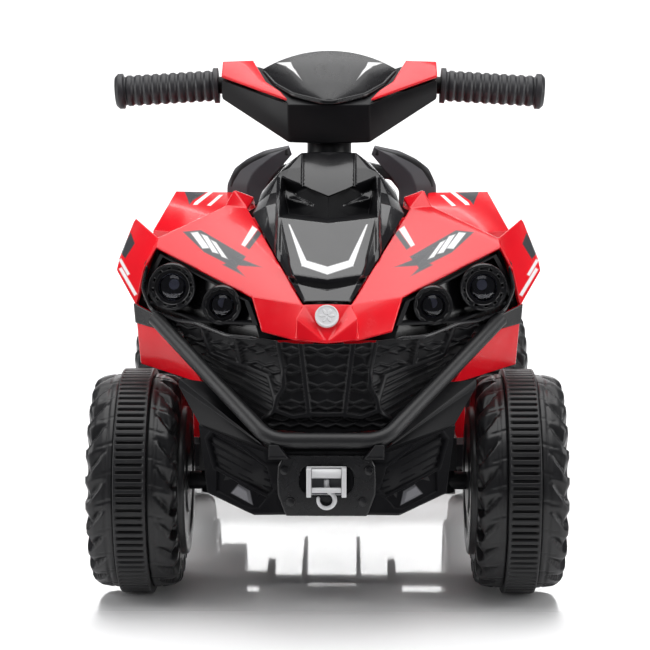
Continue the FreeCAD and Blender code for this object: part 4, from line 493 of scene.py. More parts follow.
def tyre(name, centre, side):
    """r(u, v) = profile(v) - drop(u, v): a ratchet of scoops that widen towards the shoulder, and thin seams."""
    corners = [INNER_DISC, TYRE_PROFILE[1:] * [-1.0, 1.0], TYRE_PROFILE[-2::-1], OUTER_LIP]
    profile = along_profile(np.concatenate(corners), 132)
    u = np.linspace(0.0, 2.0 * np.pi, LUGS * 20, endpoint=False)[:, None]
    across, radius = profile[None, :, 0], profile[None, :, 1]
    reach = np.abs(across)
    phase = (LUGS * u / (2.0 * np.pi) + 0.5 * (across < 0.0) - 0.012 * (reach - 14.0)) % 1.0
    width = 0.70 * np.clip((reach - 19.0) / 17.0, 0.0, 1.0)
    tooth = np.clip(phase / np.maximum(width, 0.02), 0.0, 1.0) * (1.0 - smooth_step(width, width + 0.05, phase))
    tread = smooth_step(68.0, 80.0, radius) * smooth_step(14.0, 15.5, reach)
    scoop = tooth * smooth_step(18.0, 30.0, reach) * SCOOP_DEPTH
    seam = SEAM_DEPTH * (1.0 - smooth_step(0.015, 0.04, np.abs(phase - 0.86))) * (1.0 - smooth_step(26.0, 30.0, reach))
    ring = SEAM_DEPTH * (1.0 - smooth_step(0.4, 0.9, np.abs(reach - 20.5)))
    drop = tread * np.maximum(scoop, np.maximum(seam, ring))
    side_rib = (1.0 - tread) * 0.5 * np.sin(LUGS * u) * smooth_step(66.0, 70.0, radius) * (reach > 30.0)
    bulge = across + np.sign(across) * side_rib
    return surface(name, around_x(bulge - np.sign(across) * drop * smooth_step(33.5, 38.0, reach), radius - drop,
                                  u, centre, side), close_rows=True, flip=side > 0)


print("tyre maker ready")

# %% [markdown]
# ## Traction bands
# A rubber band with cross ribs between two rails runs in the middle of the tread. The slots could be cut with a
# Boolean, but 96 cuts leave ragged edges. A ramp in u sinks them into the same grid.

# %% Band
BAND_RADIUS = 100.0
SLOT_DEPTH = 3.4


def band(name, centre, side):
    """r(u, v) = the band's radius on ribs and rails, less the slot's depth between ribs; rib tops are rounded."""
    a = np.concatenate([[-14.0, -14.0, -13.6], np.linspace(-13.0, 13.0, 27), [13.6, 14.0, 14.0]])
    edge = BAND_RADIUS - np.array([5.5, 1.0, 0.2])
    r = np.concatenate([edge, np.full(27, BAND_RADIUS), edge[::-1]])[None, :]
    u = np.linspace(0.0, 2.0 * np.pi, RIBS * 12, endpoint=False)[:, None]
    phase = (RIBS * u / (2.0 * np.pi)) % 1.0
    slot = smooth_step(0.50, 0.60, phase) * (1.0 - smooth_step(0.90, 1.0, phase))
    inner = 1.0 - smooth_step(10.6, 11.4, np.abs(a))[None, :]
    crown = 0.35 * np.cos(2.0 * np.pi * (phase - 0.25)) * inner
    return surface(name, around_x(a[None, :], r - slot * inner * SLOT_DEPTH + np.minimum(crown, 0.0), u, centre, side),
                   close_rows=True, flip=side > 0)


print("band maker ready")

# %% [markdown]
# ## Hubcaps
# A silver cap with five spokes covers the axle's nut. It could be built spoke by spoke. A disc whose height rises on
# the spokes, the rim and the hub keeps it in one piece, as it is moulded.

# %% Hubcap
CAP_START = 2.0
CAP_RADIUS = 61.6
CAP_FLOOR = 32.0
SPOKES = 5


def cap(name, centre, side):
    """x(u, v): a dished disc with five spokes that part towards the rim, round a domed hub."""
    span = CAP_RADIUS - CAP_START
    v = np.concatenate([[-CAP_START / span], np.linspace(0.0, 1.0, 64)])[None, :]
    u = np.linspace(0.0, 2.0 * np.pi, 240, endpoint=False)[:, None]
    radius = CAP_START + span * v + 0.0 * u
    turn = np.abs((SPOKES * u / (2.0 * np.pi) + 0.5) % 1.0 - 0.5)
    width = 0.17 + 0.10 * smooth_step(0.55, 0.95, v)
    spoke = 1.0 - smooth_step(width, width + 0.05, turn)
    split = (1.0 - smooth_step(0.02, 0.05, turn)) * smooth_step(0.45, 0.6, v) * (1.0 - smooth_step(0.82, 0.9, v))
    rim = smooth_step(0.90, 0.93, v)
    hub = 1.0 - smooth_step(0.30, 0.36, v)
    height = CAP_FLOOR + np.maximum(np.maximum(spoke * 3.6 - split * 2.6, rim * 4.4), hub * 4.6)
    dome = 3.2 * np.sqrt(np.clip(1.0 - (radius / 20.5) ** 2, 0.0, 1.0)) * hub
    points = around_x(height + dome * 0.9, radius, u, centre, side)
    return surface(name, points, close_rows=True, flip=side < 0, weld=True)


print("hubcap maker ready")

# %% Four wheels
AXLES = {"front": -190.0, "rear": 210.0}
HALF_TRACK = 168.5
AXLE_HEIGHT = 100.0
for end, y in AXLES.items():
    for side_name, side in (("left", 1.0), ("right", -1.0)):
        body = f"{end}_{side_name}_wheel"
        centre = (HALF_TRACK * side, y, AXLE_HEIGHT)
        wear(tyre(f"{body}_tread", centre, side), body, "tyre_plastic", tyre_black, f"{end}_{side_name}_tyre")
        wear(band(f"{body}_ribs", centre, side), body, "band_rubber", band_black, f"{end}_{side_name}_traction_band")
        wear(cap(f"{body}_cap", centre, side), body, "cap_silver", cap_silver, f"{end}_{side_name}_hubcap")
print("four wheels dressed")

# %% [markdown]
# ## Rounded panels
# A moulding has no knife edges: the mould itself is rounded, so that the part comes out. The fillets could be made
# in the CAD model, but there they cost much time and can fail. Here each panel is a copy of its CAD mesh, welded and
# cleared of the lines inside flat faces, and then bevelled, so that its corners catch a thin highlight.

# %% Soften the mouldings


def softened(node, width, angle=22.0, segments=3, drop=None):
    """A welded copy of a CAD mesh with its sharp edges rounded to a radius near width, in millimetres.

    Faces whose middle the drop test names are left out, where a relief skin stands in their place; "outer" is 1
    on faces that look forward or up, so that painted marks stay off the back of a panel."""
    mesh = nodes[node].data.copy()
    work = bmesh.new()
    work.from_mesh(mesh)
    bmesh.ops.remove_doubles(work, verts=work.verts, dist=1e-6)
    bmesh.ops.dissolve_limit(work, angle_limit=math.radians(1.0), verts=work.verts, edges=work.edges)
    if drop:
        hidden = [face for face in work.faces if drop(face.calc_center_median() / MM)]
        bmesh.ops.delete(work, geom=hidden, context="FACES")
    for face in work.faces:
        face.smooth = True
    work.to_mesh(mesh)
    work.free()
    directions = np.zeros(len(mesh.polygons) * 3)
    mesh.polygons.foreach_get("normal", directions)
    outer = mesh.attributes.new("outer", "FLOAT", "FACE")
    outer.data.foreach_set("value", (directions[1::3] < 0.5 * directions[2::3]).astype(float))
    piece = bpy.data.objects.new(f"{node}_soft", mesh)
    bpy.context.scene.collection.objects.link(piece)
    edge = piece.modifiers.new("edge", "BEVEL")
    edge.width = width * MM
    edge.segments = segments
    edge.limit_method = "ANGLE"
    edge.angle_limit = math.radians(angle)
    edge.harden_normals = True
    return piece


print("softening ready")

# %% [markdown]
# ## Panels and their radii
# A big soft panel has a wide radius, and a small crisp part a narrow one. A table holds the radius in millimetres and
# the finish of each node. The hood loses its front faces, because a skin with relief stands there later.

# %% Soft panels
PANELS = {
    "front_fairing": (2.4, red_fairing), "rear_fenders": (3.0, red_fender), "body_side_panels": (1.2, red_body),
    "console_base": (1.4, satin_black), "console_cheeks": (1.4, red_body),
    # the lamp pods wear the darkest black, painted shade where they sit in shadow
    "console_dome": (1.2, dome_black), "headlight_pods": (1.0, painted_shade_black), "bumper_guard": (1.2, satin_black),
    "winch_plate_bolts": (0.5, gloss_black), "winch_fairlead": (0.7, lead_silver_shaded), "winch_rollers": (0.4, silver),
    "backrest": (3.0, seat_black),
    "chassis_tub": (1.0, satin_black), "seat": (4.0, seat_black), "front_carrier": (0.8, satin_black),
    "front_bracket": (0.8, satin_black), "dash_panel": (0.8, satin_black), "throttle_pedal": (1.2, satin_black),
    "battery": (1.6, battery_grey), "gearbox_outer": (1.0, satin_black), "gearbox_inner": (0.8, satin_black),
    "power_switch": (0.5, gloss_black), "direction_switch": (0.5, gloss_black), "nose_badge": (0.5, silver),
    "bumper_bar": (0.6, bar_black), "steering_neck": (0.8, satin_black), "column_housing": (0.6, satin_black),
    "left_grip": (0.4, grip_black), "right_grip": (0.4, grip_black), "horn_button": (0.6, button_red),
    "music_button": (0.6, button_red), "charge_socket": (0.5, gloss_black), "tie_rod": (0.4, steel),
    "steering_column": (0.4, satin_black), "left_knuckle": (0.5, satin_black), "right_knuckle": (0.5, satin_black),
    "motor": (0.8, steel),
}
hood = softened("hood_cover", 1.0, drop=lambda middle: middle.y < -114.0)
wear(hood, "frame", "black_gloss", gloss_black, "hood_cover")
for node, (width, finish) in PANELS.items():
    wear(softened(node, width), node_body[node], node_slot[node], finish, node)
print(len(PANELS), "panels softened")

# %% [markdown]
# ## Relief on the nose
# The grille, the bumper guard and the hood are each one moulding with deep relief. A displacement map could push
# their faces out, but it needs a picture. Here each is a patch between two edge lines, pushed along its own normal by
# a height that is worked out from the distance to ribs drawn in x and z.

# %% Relief helpers


def patch(low, high, breaks, across, up):
    """P(s, t) = (1 - t) low(s) + t high(s): both edge lines bend at the same breaks, mirrored by the sign of s."""
    s = np.linspace(-1.0, 1.0, across)[None, :]
    t = np.linspace(0.0, 1.0, up)[:, None]
    low, high = np.array(low), np.array(high)
    spots = [(1.0 - t) * np.interp(np.abs(s), breaks, low[:, k]) + t * np.interp(np.abs(s), breaks, high[:, k])
             for k in range(3)]
    spots[0] = spots[0] * np.sign(s)
    return np.stack(spots, axis=-1)


def facing(points):
    """Unit normals of a grid, dP/ds x dP/dt, turned to the front."""
    normal = np.cross(np.gradient(points, axis=1), np.gradient(points, axis=0))
    normal = normal / np.maximum(np.linalg.norm(normal, axis=-1, keepdims=True), 1e-9)
    return normal * np.where(normal[..., 1:2] > 0.0, -1.0, 1.0)


def to_path(x, z, path):
    """Distance from (x, z) to a bent line."""
    least = np.full(np.shape(x), 1e9)
    for (x0, z0), (x1, z1) in zip(path, path[1:]):
        share = np.clip(((x - x0) * (x1 - x0) + (z - z0) * (z1 - z0)) / ((x1 - x0) ** 2 + (z1 - z0) ** 2), 0.0, 1.0)
        least = np.minimum(least, np.hypot(x - x0 - share * (x1 - x0), z - z0 - share * (z1 - z0)))
    return least


def depth_in(x, z, corners):
    """Distance inside a convex outline, below zero outside it."""
    middle = np.mean(corners, axis=0)
    least = np.full(np.shape(x), 1e9)
    for (x0, z0), (x1, z1) in zip(corners, corners[1:] + corners[:1]):
        a, b = (z1 - z0), (x0 - x1)
        inward = math.copysign(1.0 / math.hypot(a, b), a * (middle[0] - x0) + b * (middle[1] - z0))
        least = np.minimum(least, (a * (x - x0) + b * (z - z0)) * inward)
    return least


def rib(distance, width, height, flank=0.7):
    """A rib with sloping flanks: full height within half its width."""
    return height * (1.0 - smooth_step(width / 2.0, width / 2.0 + flank, distance))


def raised(name, points, height, wall):
    """A patch pushed along its normals by a height in millimetres and given a wall."""
    return thicken(surface(name, (points + facing(points) * height[..., None]) * MM), wall * MM)


print("relief helpers ready")

# %% [markdown]
# ## Grille
# On a real quad the grille lets air to the radiator. On the toy it is one black moulding with a frame, zigzag bars and
# slanted slats. Bars could be set one by one, but they would have to be trimmed to every bay. Repeating ribs in x and
# z fill all bays at once, and the frame ribs lie over them.

# %% Grille: framed bays with zigzag bars and slanted slats
GRILLE_LOW = [(0, -315, 166.6), (50, -311.5, 170.2), (80, -268, 188.2), (88, -262.6, 194.8), (100, -254, 205.6),
              (111.5, -246, 216)]
GRILLE_HIGH = [(0, -308, 241.0), (27, -305.5, 241.4), (56, -297.4, 243.0), (84, -283.6, 243.6), (113, -257, 250.6),
               (133.6, -241.4, 251.4)]
GRILLE_BREAKS = [0.0, 0.34, 0.58, 0.70, 0.86, 1.0]
FRAME_RIBS = [[(22.0, 244), (14.6, 181.5)], [(41.5, 249), (36.4, 218), (35.7, 205.7), (42.4, 193.5), (43.5, 186)],
              [(-1.0, 183), (13.3, 183), (28.2, 180.5), (43.5, 186), (52.0, 178)],
              [(108, 252), (99, 226), (72.3, 219.6), (48.7, 213), (42.4, 193.5)], [(77.0, 248), (72.5, 219.6)]]
BAR_PITCH, BAR_WIDTH, BAR_RISE = 14.6, 1.5, 1.6
BAR_WAVE, BAR_SWING = 15.0, 2.6
SLAT_PITCH, SLAT_WIDTH, SLAT_RISE = 6.2, 1.6, 1.5
FRAME_WIDTH, FRAME_RISE = 3.2, 3.8
GRILLE_SINK = 2.4


def grille_height(x, z):
    """Frame ribs over two families of zigzag bars inside, and slats that climb outwards beside them."""
    swing = np.abs((x / BAR_WAVE + 0.5) % 1.0 - 0.5) * 2.0 * BAR_SWING
    even = np.abs((z - 238.0 + swing + BAR_PITCH / 2) % BAR_PITCH - BAR_PITCH / 2)
    odd = np.abs((z - 230.7 - swing + BAR_PITCH / 2) % BAR_PITCH - BAR_PITCH / 2)
    bars = rib(np.minimum(even, odd), BAR_WIDTH, BAR_RISE)
    slats = rib(np.abs((z - 0.32 * x) % SLAT_PITCH - SLAT_PITCH / 2), SLAT_WIDTH, SLAT_RISE)
    beside = smooth_step(44.0, 45.0, x) * (z < 219.6 + 0.10 * (x - 72.0))
    height = np.where(beside > 0.5, slats, bars)
    for path in FRAME_RIBS:
        height = np.maximum(height, rib(to_path(x, z, path), FRAME_WIDTH, FRAME_RISE, 1.0))
    return height


points = patch(GRILLE_LOW, GRILLE_HIGH, GRILLE_BREAKS, 321, 136)
height = grille_height(np.abs(points[..., 0]), points[..., 2]) - GRILLE_SINK
lattice = raised("grille_lattice", points, height, 1.6)
wear(lattice, node_body["grille"], "black_gloss", satin_black, "grille")
print("grille", points.shape[:2])

# %% [markdown]
# ## Bumper guard
# The guard closes the nose below the bar: a frame, a slatted recess, and an insert shaped like a fog lamp. Cutting the
# recess out would open the shell behind it. Lowering the height inside its outline keeps the wall whole.

# %% Guard: a framed recess with slats and a lamp-shaped insert on each side
GUARD_LOW = [(38.5, -322.2, 102.5), (60.6, -320.2, 101.2), (98.8, -303.6, 115.4)]
GUARD_HIGH = [(50.5, -322.2, 154.5), (71, -311.2, 159.5), (106.6, -290.6, 169.6)]
RECESS = [(98.0, 159.0), (94.0, 164.6), (74.6, 158.0), (48.5, 141.0), (43.0, 121.0), (48.4, 117.5), (91.5, 136.5)]
INSERT = [(91.0, 134.0), (48.0, 115.0), (56.0, 105.2), (62.0, 104.4), (91.5, 116.5)]
INSERT_LIGHT = [(80.0, 116.0), (73.5, 124.0), (64.0, 119.4), (61.5, 108.0)]
GUARD_RISE, RECESS_DEPTH, INSERT_DEPTH, LIGHT_RISE = 3.2, 3.0, 1.8, 2.2


def guard_height(x, z):
    """Full height on the frame, a slatted floor in the recess, a shallow insert with a raised trapezoid."""
    recess = smooth_step(0.0, 1.0, depth_in(x, z, RECESS))
    insert = smooth_step(0.0, 0.8, depth_in(x, z, INSERT))
    light = smooth_step(0.0, 1.6, depth_in(x, z, INSERT_LIGHT))
    slats = rib(np.abs((z - 0.42 * x) % SLAT_PITCH - SLAT_PITCH / 2), 1.5, 1.2)
    rim = rib(np.abs(depth_in(x, z, RECESS) + 1.6), 1.6, 0.7)
    return GUARD_RISE + rim - recess * (RECESS_DEPTH - slats) - insert * INSERT_DEPTH + light * LIGHT_RISE


def guard_marks(graph, x, y, z):
    """The trapezoid of each insert is a pale smoked grey."""
    return [(inside(x.size(), z, in_metres(*INSERT_LIGHT)), (0.16, 0.16, 0.17, 1.0))]


guard_black = plastic("guard_satin", (0.006, 0.006, 0.007), 0.40, grain=1400.0, depth=0.00008, marks=guard_marks,
                      dust=0.01, shine=0.06)
for side_name, side in (("left", 1.0), ("right", -1.0)):
    half = patch(GUARD_LOW, GUARD_HIGH, [0.0, 0.4, 1.0], 281, 96)[:, 140:]
    height = guard_height(half[..., 0], half[..., 2])
    skin = (half + facing(half) * height[..., None]) * [side, 1.0, 1.0]
    piece = thicken(surface(f"guard_relief_{side_name}", skin * MM, flip=side < 0), 1.0 * MM)
    wear(piece, node_body["bumper_guard"], "black_satin", guard_black)
print("guard dressed")

# %% [markdown]
# ## Hood plates
# The black hood is one moulding that looks like several stacked plates: a visor that ends in a V, a prow with two
# spikes over a shelf, and a lower plate that carries the chevron. Separate plates would need seams that the real part
# does not have. So one skin follows the CAD rows from the nose to the neck, and a height above them makes the plates.

# %% Hood sizes
HOOD_Y = np.array([-285.25, -262.0, -225.0, -188.0, -160.0, -140.0, -128.0, -113.4])
HOOD_COLUMNS = np.array([
    [(0, 273.4), (0, 288.8), (0, 310.8), (0, 332.8), (0, 348.8), (0, 360.0), (0, 378.0), (0, 389.0)],
    [(17, 273), (26, 288), (36, 308.8), (43, 330.8), (42, 346.8), (41, 356), (36, 374.4), (25, 387.6)],
    [(18.2, 272.6), (27.6, 286.4), (40.4, 306.8), (51.6, 327.2), (55.6, 343.2), (52.8, 352.8), (44.8, 370.8),
     (38, 378)],
    [(19.3, 272.2), (28.6, 284.2), (43, 303), (57, 321.9), (68, 336.3), (63.6, 344.3), (61.6, 350.6), (61.2, 352.2)]])
VISOR_EDGE = ((0.0, 351.6), (22.4, 360.0))
LEDGE = ((0.0, 329.4), (38.0, 332.8))
SPIKE_TIP = (13.4, 350.6)
SPIKE_LOW = (41.0, 356.7)
SPIKE_HIGH = (41.0, 361.5)
PLATE_RISE = 2.6
FIN_INNER, FIN_OUTER = 43.0, 46.5
print(len(HOOD_Y), "rows of the hood")

# %% Heights of the hood


def above(x, z, start, end):
    """Signed distance from a straight line through two points, above zero on its upper side."""
    run, rise = end[0] - start[0], end[1] - start[1]
    return ((z - start[1]) * run - (x - start[0]) * rise) / math.hypot(run, rise)


def hood_height(x, z):
    """Millimetres above the CAD hood, as flat facets: each height is a least or a most of sloping planes.

    A steep prow falls from the visor's edge to a level shelf behind the plate; a spike with a flat top stands
    out of each side of the prow, and a fin closes the shelf at its outer end."""
    prow = -1.5 * np.maximum(-above(x, z, *VISOR_EDGE), 0.0)
    ledge = above(x, z, *LEDGE)
    shelf = PLATE_RISE - 1.15 * ledge
    spike = -8.4 + np.minimum(0.10 * above(x, z, SPIKE_TIP, SPIKE_HIGH), 4.0 * above(x, z, SPIKE_TIP, SPIKE_LOW))
    pocket = np.maximum(np.maximum(prow, shelf), np.where(x > SPIKE_TIP[0], spike, -30.0))
    fin = PLATE_RISE * np.clip((368.0 - z) / 8.0, 0.0, 1.0)
    upper = np.maximum(pocket, fin - 4.0 * np.maximum(FIN_INNER - x, 0.0)) * (x < FIN_INNER)
    fin = fin * np.clip((FIN_OUTER - x) / 3.0, 0.0, 1.0) * (x >= FIN_INNER)
    foot = above(x, z, (0.0, 286.8), (31.0, 290.4))
    last = above(x, z, (0.0, 281.2), (26.0, 286.0))
    side = np.clip((42.0 - 0.30 * (330.0 - z) - x) * 0.8, 0.0, 1.0)
    plate = np.clip(foot * 3.0, 0.0, PLATE_RISE) * side
    flank = PLATE_RISE * np.clip((FIN_OUTER - x) / 3.0, 0.0, 1.0) * np.clip((x - 40.5) / 1.5, 0.0, 1.0) * (foot > 0.0)
    gap = np.clip(np.minimum(-foot, last) * 4.0, 0.0, 5.0)
    lower = np.maximum(plate, flank) + np.clip(-last * 3.0, 0.0, 1.4) - gap
    return np.where(ledge > 0.0, upper + fin, lower)


def hood_shaded_pocket(x, z):
    """True in the pocket of painted shade: under the visor, above the plate, between the fins, off the tops of the
    spikes.
    """
    top = (above(x, z, SPIKE_TIP, SPIKE_LOW) > 0.0) & (above(x, z, SPIKE_TIP, SPIKE_HIGH) < 0.0) & (x > SPIKE_TIP[0])
    return (above(x, z, *LEDGE) > 0.0) & (above(x, z, *VISOR_EDGE) < 0.0) & (x < 42.6) & ~top


def visor_front(z):
    """How far forward the visor's face stands: y(z) bends back towards the neck."""
    rise = z - VISOR_EDGE[0][1]
    return -159.6 + 0.80 * rise + 0.012 * rise ** 2


print("hood heights ready")

# %% [markdown]
# ## Hood skin
# The flat facets must stay crisp, so the heights are sums of planes and not smoothed noise. The visor is pulled
# forward after the rest, because it stands steeper than the hood's own normals. The pocket between the plates gets
# the darkest, dullest black: painted shade under the visor.

# %% Hood skin
s = np.linspace(-1.0, 1.0, 231)
weights = np.stack([np.interp(np.abs(s), [0.0, 0.62, 0.80, 1.0], row) for row in np.eye(4)], axis=-1)
y = np.concatenate([np.linspace(a, b, 28, endpoint=False) for a, b in zip(HOOD_Y, HOOD_Y[1:])] + [HOOD_Y[-1:]])
columns = np.stack([[np.interp(y, HOOD_Y, column[:, k]) for k in range(2)] for column in HOOD_COLUMNS])
skin = np.einsum("sk,kct->tsc", weights, columns)
skin = np.stack([skin[..., 0] * np.sign(s), np.broadcast_to(y[:, None], skin.shape[:2]), skin[..., 1]], axis=-1)
fade = 1.0 - smooth_step(0.95, 1.0, np.abs(s))[None, :]
pocket = hood_shaded_pocket(np.abs(skin[..., 0]), skin[..., 2])
lift = hood_height(np.abs(skin[..., 0]), skin[..., 2]) * fade + 0.3
skin = skin + facing(skin) * lift[..., None]
across, height = np.abs(skin[..., 0]), skin[..., 2]
visor = np.clip(np.minimum(above(across, height, *VISOR_EDGE), 22.6 - across) * 2.5, 0.0, 1.0)
rail = np.clip(2.2 - 1.6 * np.abs(across - 23.4), 0.0, 1.0) * (height > 359.6)
front = np.minimum(skin[..., 1], visor_front(height) - 1.6 * rail)
skin[..., 1] = skin[..., 1] + (front - skin[..., 1]) * np.maximum(visor, rail)
piece = thicken(surface("hood_skin", skin * MM), 1.0 * MM)
wear(piece, node_body["hood_cover"], "black_gloss", hood_black)
# The second slot is the darkest black, painted shade for the pocket under the visor.
piece.data.materials.append(painted_shade_black)
piece.data.polygons.foreach_set("material_index", (pocket[:-1, :-1] & pocket[1:, 1:]).ravel().astype(int))
print("hood skin", skin.shape[:2])

# %% [markdown]
# ## Lamps
# Each headlight has two round lamps: a black ring with notches and a low clear dome. They could be cylinders with
# bevels. A turned profile gives the cone, the lip and the notches in one surface, as if it came off a lathe.

# %% Turned pieces


def turned(name, centre, axis, profile, count, relief=0.0):
    """P(u, v) = c + r(v) (e1 cos u + e2 sin u) + h(v) axis, with an added height that may vary with u."""
    axis = np.array(axis) / np.linalg.norm(axis)
    first = np.array([1.0, 0.0, 0.0])
    second = np.cross(axis, first)
    u = np.linspace(0.0, 2.0 * np.pi, count, endpoint=False)[:, None, None]
    profile = np.array(profile)
    r, h = profile[None, :, 0, None], profile[None, :, 1, None]
    if callable(relief):
        h = h + relief(u, r)
    points = np.array(centre) + r * (np.cos(u) * first + np.sin(u) * second) + h * axis
    return surface(name, points * MM, close_rows=True, flip=True, weld=True)


def notches(inner, outer, number, deep):
    """A ring of notches: -deep within (inner, outer) on every other half step round."""
    def relief(u, r):
        gate = smooth_step(0.1, 0.4, np.sin(number * u))
        return -deep * gate * smooth_step(inner, inner + 0.4, r) * (1.0 - smooth_step(outer - 0.4, outer, r))
    return relief


print("lathe ready")

# %% Lamp rings and lenses
RING_FACE, RING_LIP, RING_SINK, RING_BACK = 0.6, 1.4, 3.0, -9.0
NOTCHES, NOTCH_DEPTH = 12, 0.6
LENS_SEAT, LENS_RISE, LENS_WALL = -5.4, 4.6, 0.8
LAMPS = (("outer", (134.4, -232.0, 279.2), 20.6, 12.0), ("inner", (89.6, -265.0, 267.6), 17.0, 10.5))
ring_black = plastic("lamp_ring", (0.008, 0.008, 0.009), 0.24, coat=0.2, dust=0.01, shine=0.4)
for side_name, side in (("left", 1.0), ("right", -1.0)):
    for kind, (x, y_front, z), barrel, lens in LAMPS:
        centre = (x * side, y_front, z)
        r = np.concatenate([[barrel - 0.1], np.linspace(barrel - 0.4, lens + 0.8, 40), [lens + 0.3]])
        lip = smooth_step(barrel - 2.0, barrel - 1.4, r)
        cone = smooth_step(lens + 0.4, lens + 3.4, r)
        h = RING_FACE + RING_LIP * lip - (1.0 - cone) * RING_SINK
        h[0], h[-1] = RING_BACK, -3.4
        ring = turned(f"lamp_ring_{kind}_{side_name}", centre, (0.0, -1.0, 0.0), np.stack([r, h], axis=-1), 240,
                      notches(barrel - 5.2, barrel - 2.8, NOTCHES, NOTCH_DEPTH))
        wear(ring, "frame", "black_gloss", ring_black)
        r = np.linspace(lens - 0.35, 0.0, 24)
        bulge = np.sqrt(np.clip(1.0 - (r / (lens + 2.0)) ** 2, 0.0, 1.0))
        dome = np.stack([r, LENS_SEAT + LENS_RISE * bulge], axis=-1)
        lens_piece = turned(f"lamp_dome_{kind}_{side_name}", centre, (0.0, -1.0, 0.0), dome, 96)
        wear(thicken(lens_piece, LENS_WALL * MM), "frame", "lens_clear", lens_glass, "headlight_lenses")
print("lamps dressed")

# %% [markdown]
# ## Badge
# A small silver badge sits on the nose. Its motif here is plain: six leaves inside a rim. It could be drawn as a
# curve and filled, but a height on a disc gives soft edges that catch the light.

# %% Badge
BADGE_RADIUS = 9.9
BADGE_FACE = 1.3
BADGE_RELIEF = 0.5
LEAF_LENGTH = 6.6


def six_leaves(u, r):
    """A raised rim, and six leaves: r below the leaf's length times |cos 3u|."""
    leaf = smooth_step(0.0, 0.8, LEAF_LENGTH * np.abs(np.cos(3.0 * u)) - r) * smooth_step(0.8, 1.4, r)
    rim = smooth_step(8.0, 8.6, r) * (1.0 - smooth_step(9.5, BADGE_RADIUS, r))
    return BADGE_RELIEF * np.maximum(leaf, rim)


low, high = (np.array(corner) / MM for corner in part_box("nose_badge"))
r = np.linspace(BADGE_RADIUS, 0.0, 60)
disc = np.stack([r, BADGE_FACE + 0.0 * r], axis=-1)
badge = turned("badge_motif", (low + high) / 2.0, (0.0, -0.87, 0.49), disc, 240, six_leaves)
wear(badge, node_body["nose_badge"], "silver_trim", silver)
print("badge in place")

# %% [markdown]
# ## Swept rods
# Lips, rims and the winch's hook are rods that follow a bent line. A curve with a bevel would do it, but its sections
# could not taper and close by one formula. Here an oval is carried along an eased path and shrinks to a point at both
# ends.

# %% Swept rods


def swept(name, path, width, height, steps=14, taper=1.0, ease=6):
    """P(t, a) = path(t) + k(t) (w/2 cos a e1 + h/2 sin a e2): a rounded rod along an eased path."""
    path = np.array(path, dtype=float)
    length = np.concatenate([[0.0], np.cumsum(np.linalg.norm(np.diff(path, axis=0), axis=1))])
    t = np.linspace(0.0, length[-1], steps * (len(path) - 1) + 1)
    spine = np.stack([np.interp(t, length, path[:, k]) for k in range(3)], axis=-1)
    for _ in range(ease):
        spine[1:-1] = (spine[:-2] + 2.0 * spine[1:-1] + spine[2:]) / 4.0
    along = np.gradient(spine, axis=0)
    along = along / np.linalg.norm(along, axis=1, keepdims=True)
    out = np.array([0.0, -1.0, 0.0]) + along * along[:, 1:2]
    out = out / np.linalg.norm(out, axis=1, keepdims=True)
    up = np.cross(along, out)
    a = np.linspace(0.0, 2.0 * np.pi, 20, endpoint=False)[None, :, None]
    count = np.arange(len(t))
    ends = np.sqrt(np.clip(np.minimum(count, count[::-1]) / 3.0, 0.0, 1.0)) * np.linspace(1.0, taper, len(t))
    rod = spine[:, None] + ends[:, None, None] * (np.cos(a) * width / 2.0 * up[:, None]
                                                  + np.sin(a) * height / 2.0 * out[:, None])
    return surface(name, rod * MM, close_columns=True, flip=True, weld=True)


print("rod maker ready")

# %% [markdown]
# ## Lamp trays, frames and lips
# Dark trays close the lamp openings behind the pods, a short frame runs on to the fender, and a lip follows the lower
# edge. The CAD pods could have been closed instead, but a tray with its own wall keeps them simple to mould.

# %% Lamp trays
TRAY_LOW = [(54.0, -276.0, 240.0), (84.0, -256.0, 236.0), (128.0, -216.0, 240.0), (152.0, -196.0, 244.0),
            (168.5, -192.0, 258.0)]
TRAY_HIGH = [(65.0, -262.0, 279.0), (92.0, -238.0, 290.0), (126.0, -208.0, 303.0), (149.5, -190.0, 312.0),
             (161.0, -196.0, 296.0)]
LIP = [(158.0, -210.0, 296.0), (162.5, -207.0, 275.0), (154.0, -215.0, 256.5), (128.0, -245.5, 252.0),
       (113.0, -259.5, 252.4), (84.0, -286.4, 245.0), (57.0, -300.2, 244.4)]
FRAME_LOW = [(136.0, -229.2, 238.9), (170.0, -200.0, 243.7)]
FRAME_HIGH = [(142.8, -227.4, 251.0), (171.2, -201.2, 261.0)]
for side_name, side in (("left", 1.0), ("right", -1.0)):
    half = patch(TRAY_LOW, TRAY_HIGH, [0.0, 0.25, 0.6, 0.86, 1.0], 121, 24)[:, 60:]
    tray = surface(f"lamp_tray_{side_name}", half * [side, 1.0, 1.0] * MM, flip=side < 0)
    wear(thicken(tray, 1.0 * MM), "frame", "black_gloss", gloss_black)
    half = patch(FRAME_LOW, FRAME_HIGH, [0.0, 1.0], 41, 12)[:, 20:]
    rim = surface(f"lamp_frame_{side_name}", half * [side, 1.0, 1.0] * MM, flip=side < 0)
    wear(thicken(rim, 0.8 * MM), "frame", "black_gloss", gloss_black)
    lip = swept(f"lamp_lip_{side_name}", np.array(LIP) * [side, 1.0, 1.0], 3.6, 3.0)
    wear(lip, "frame", "black_gloss", gloss_black)
print("trays and lips in place")

# %% [markdown]
# ## Console collar
# The console between the grips has a domed cover. A collar fills the space below it, and a thin rim follows its edge.
# Widening the dome would spoil its outline, so the collar is a patch between the base's edge and the dome's.

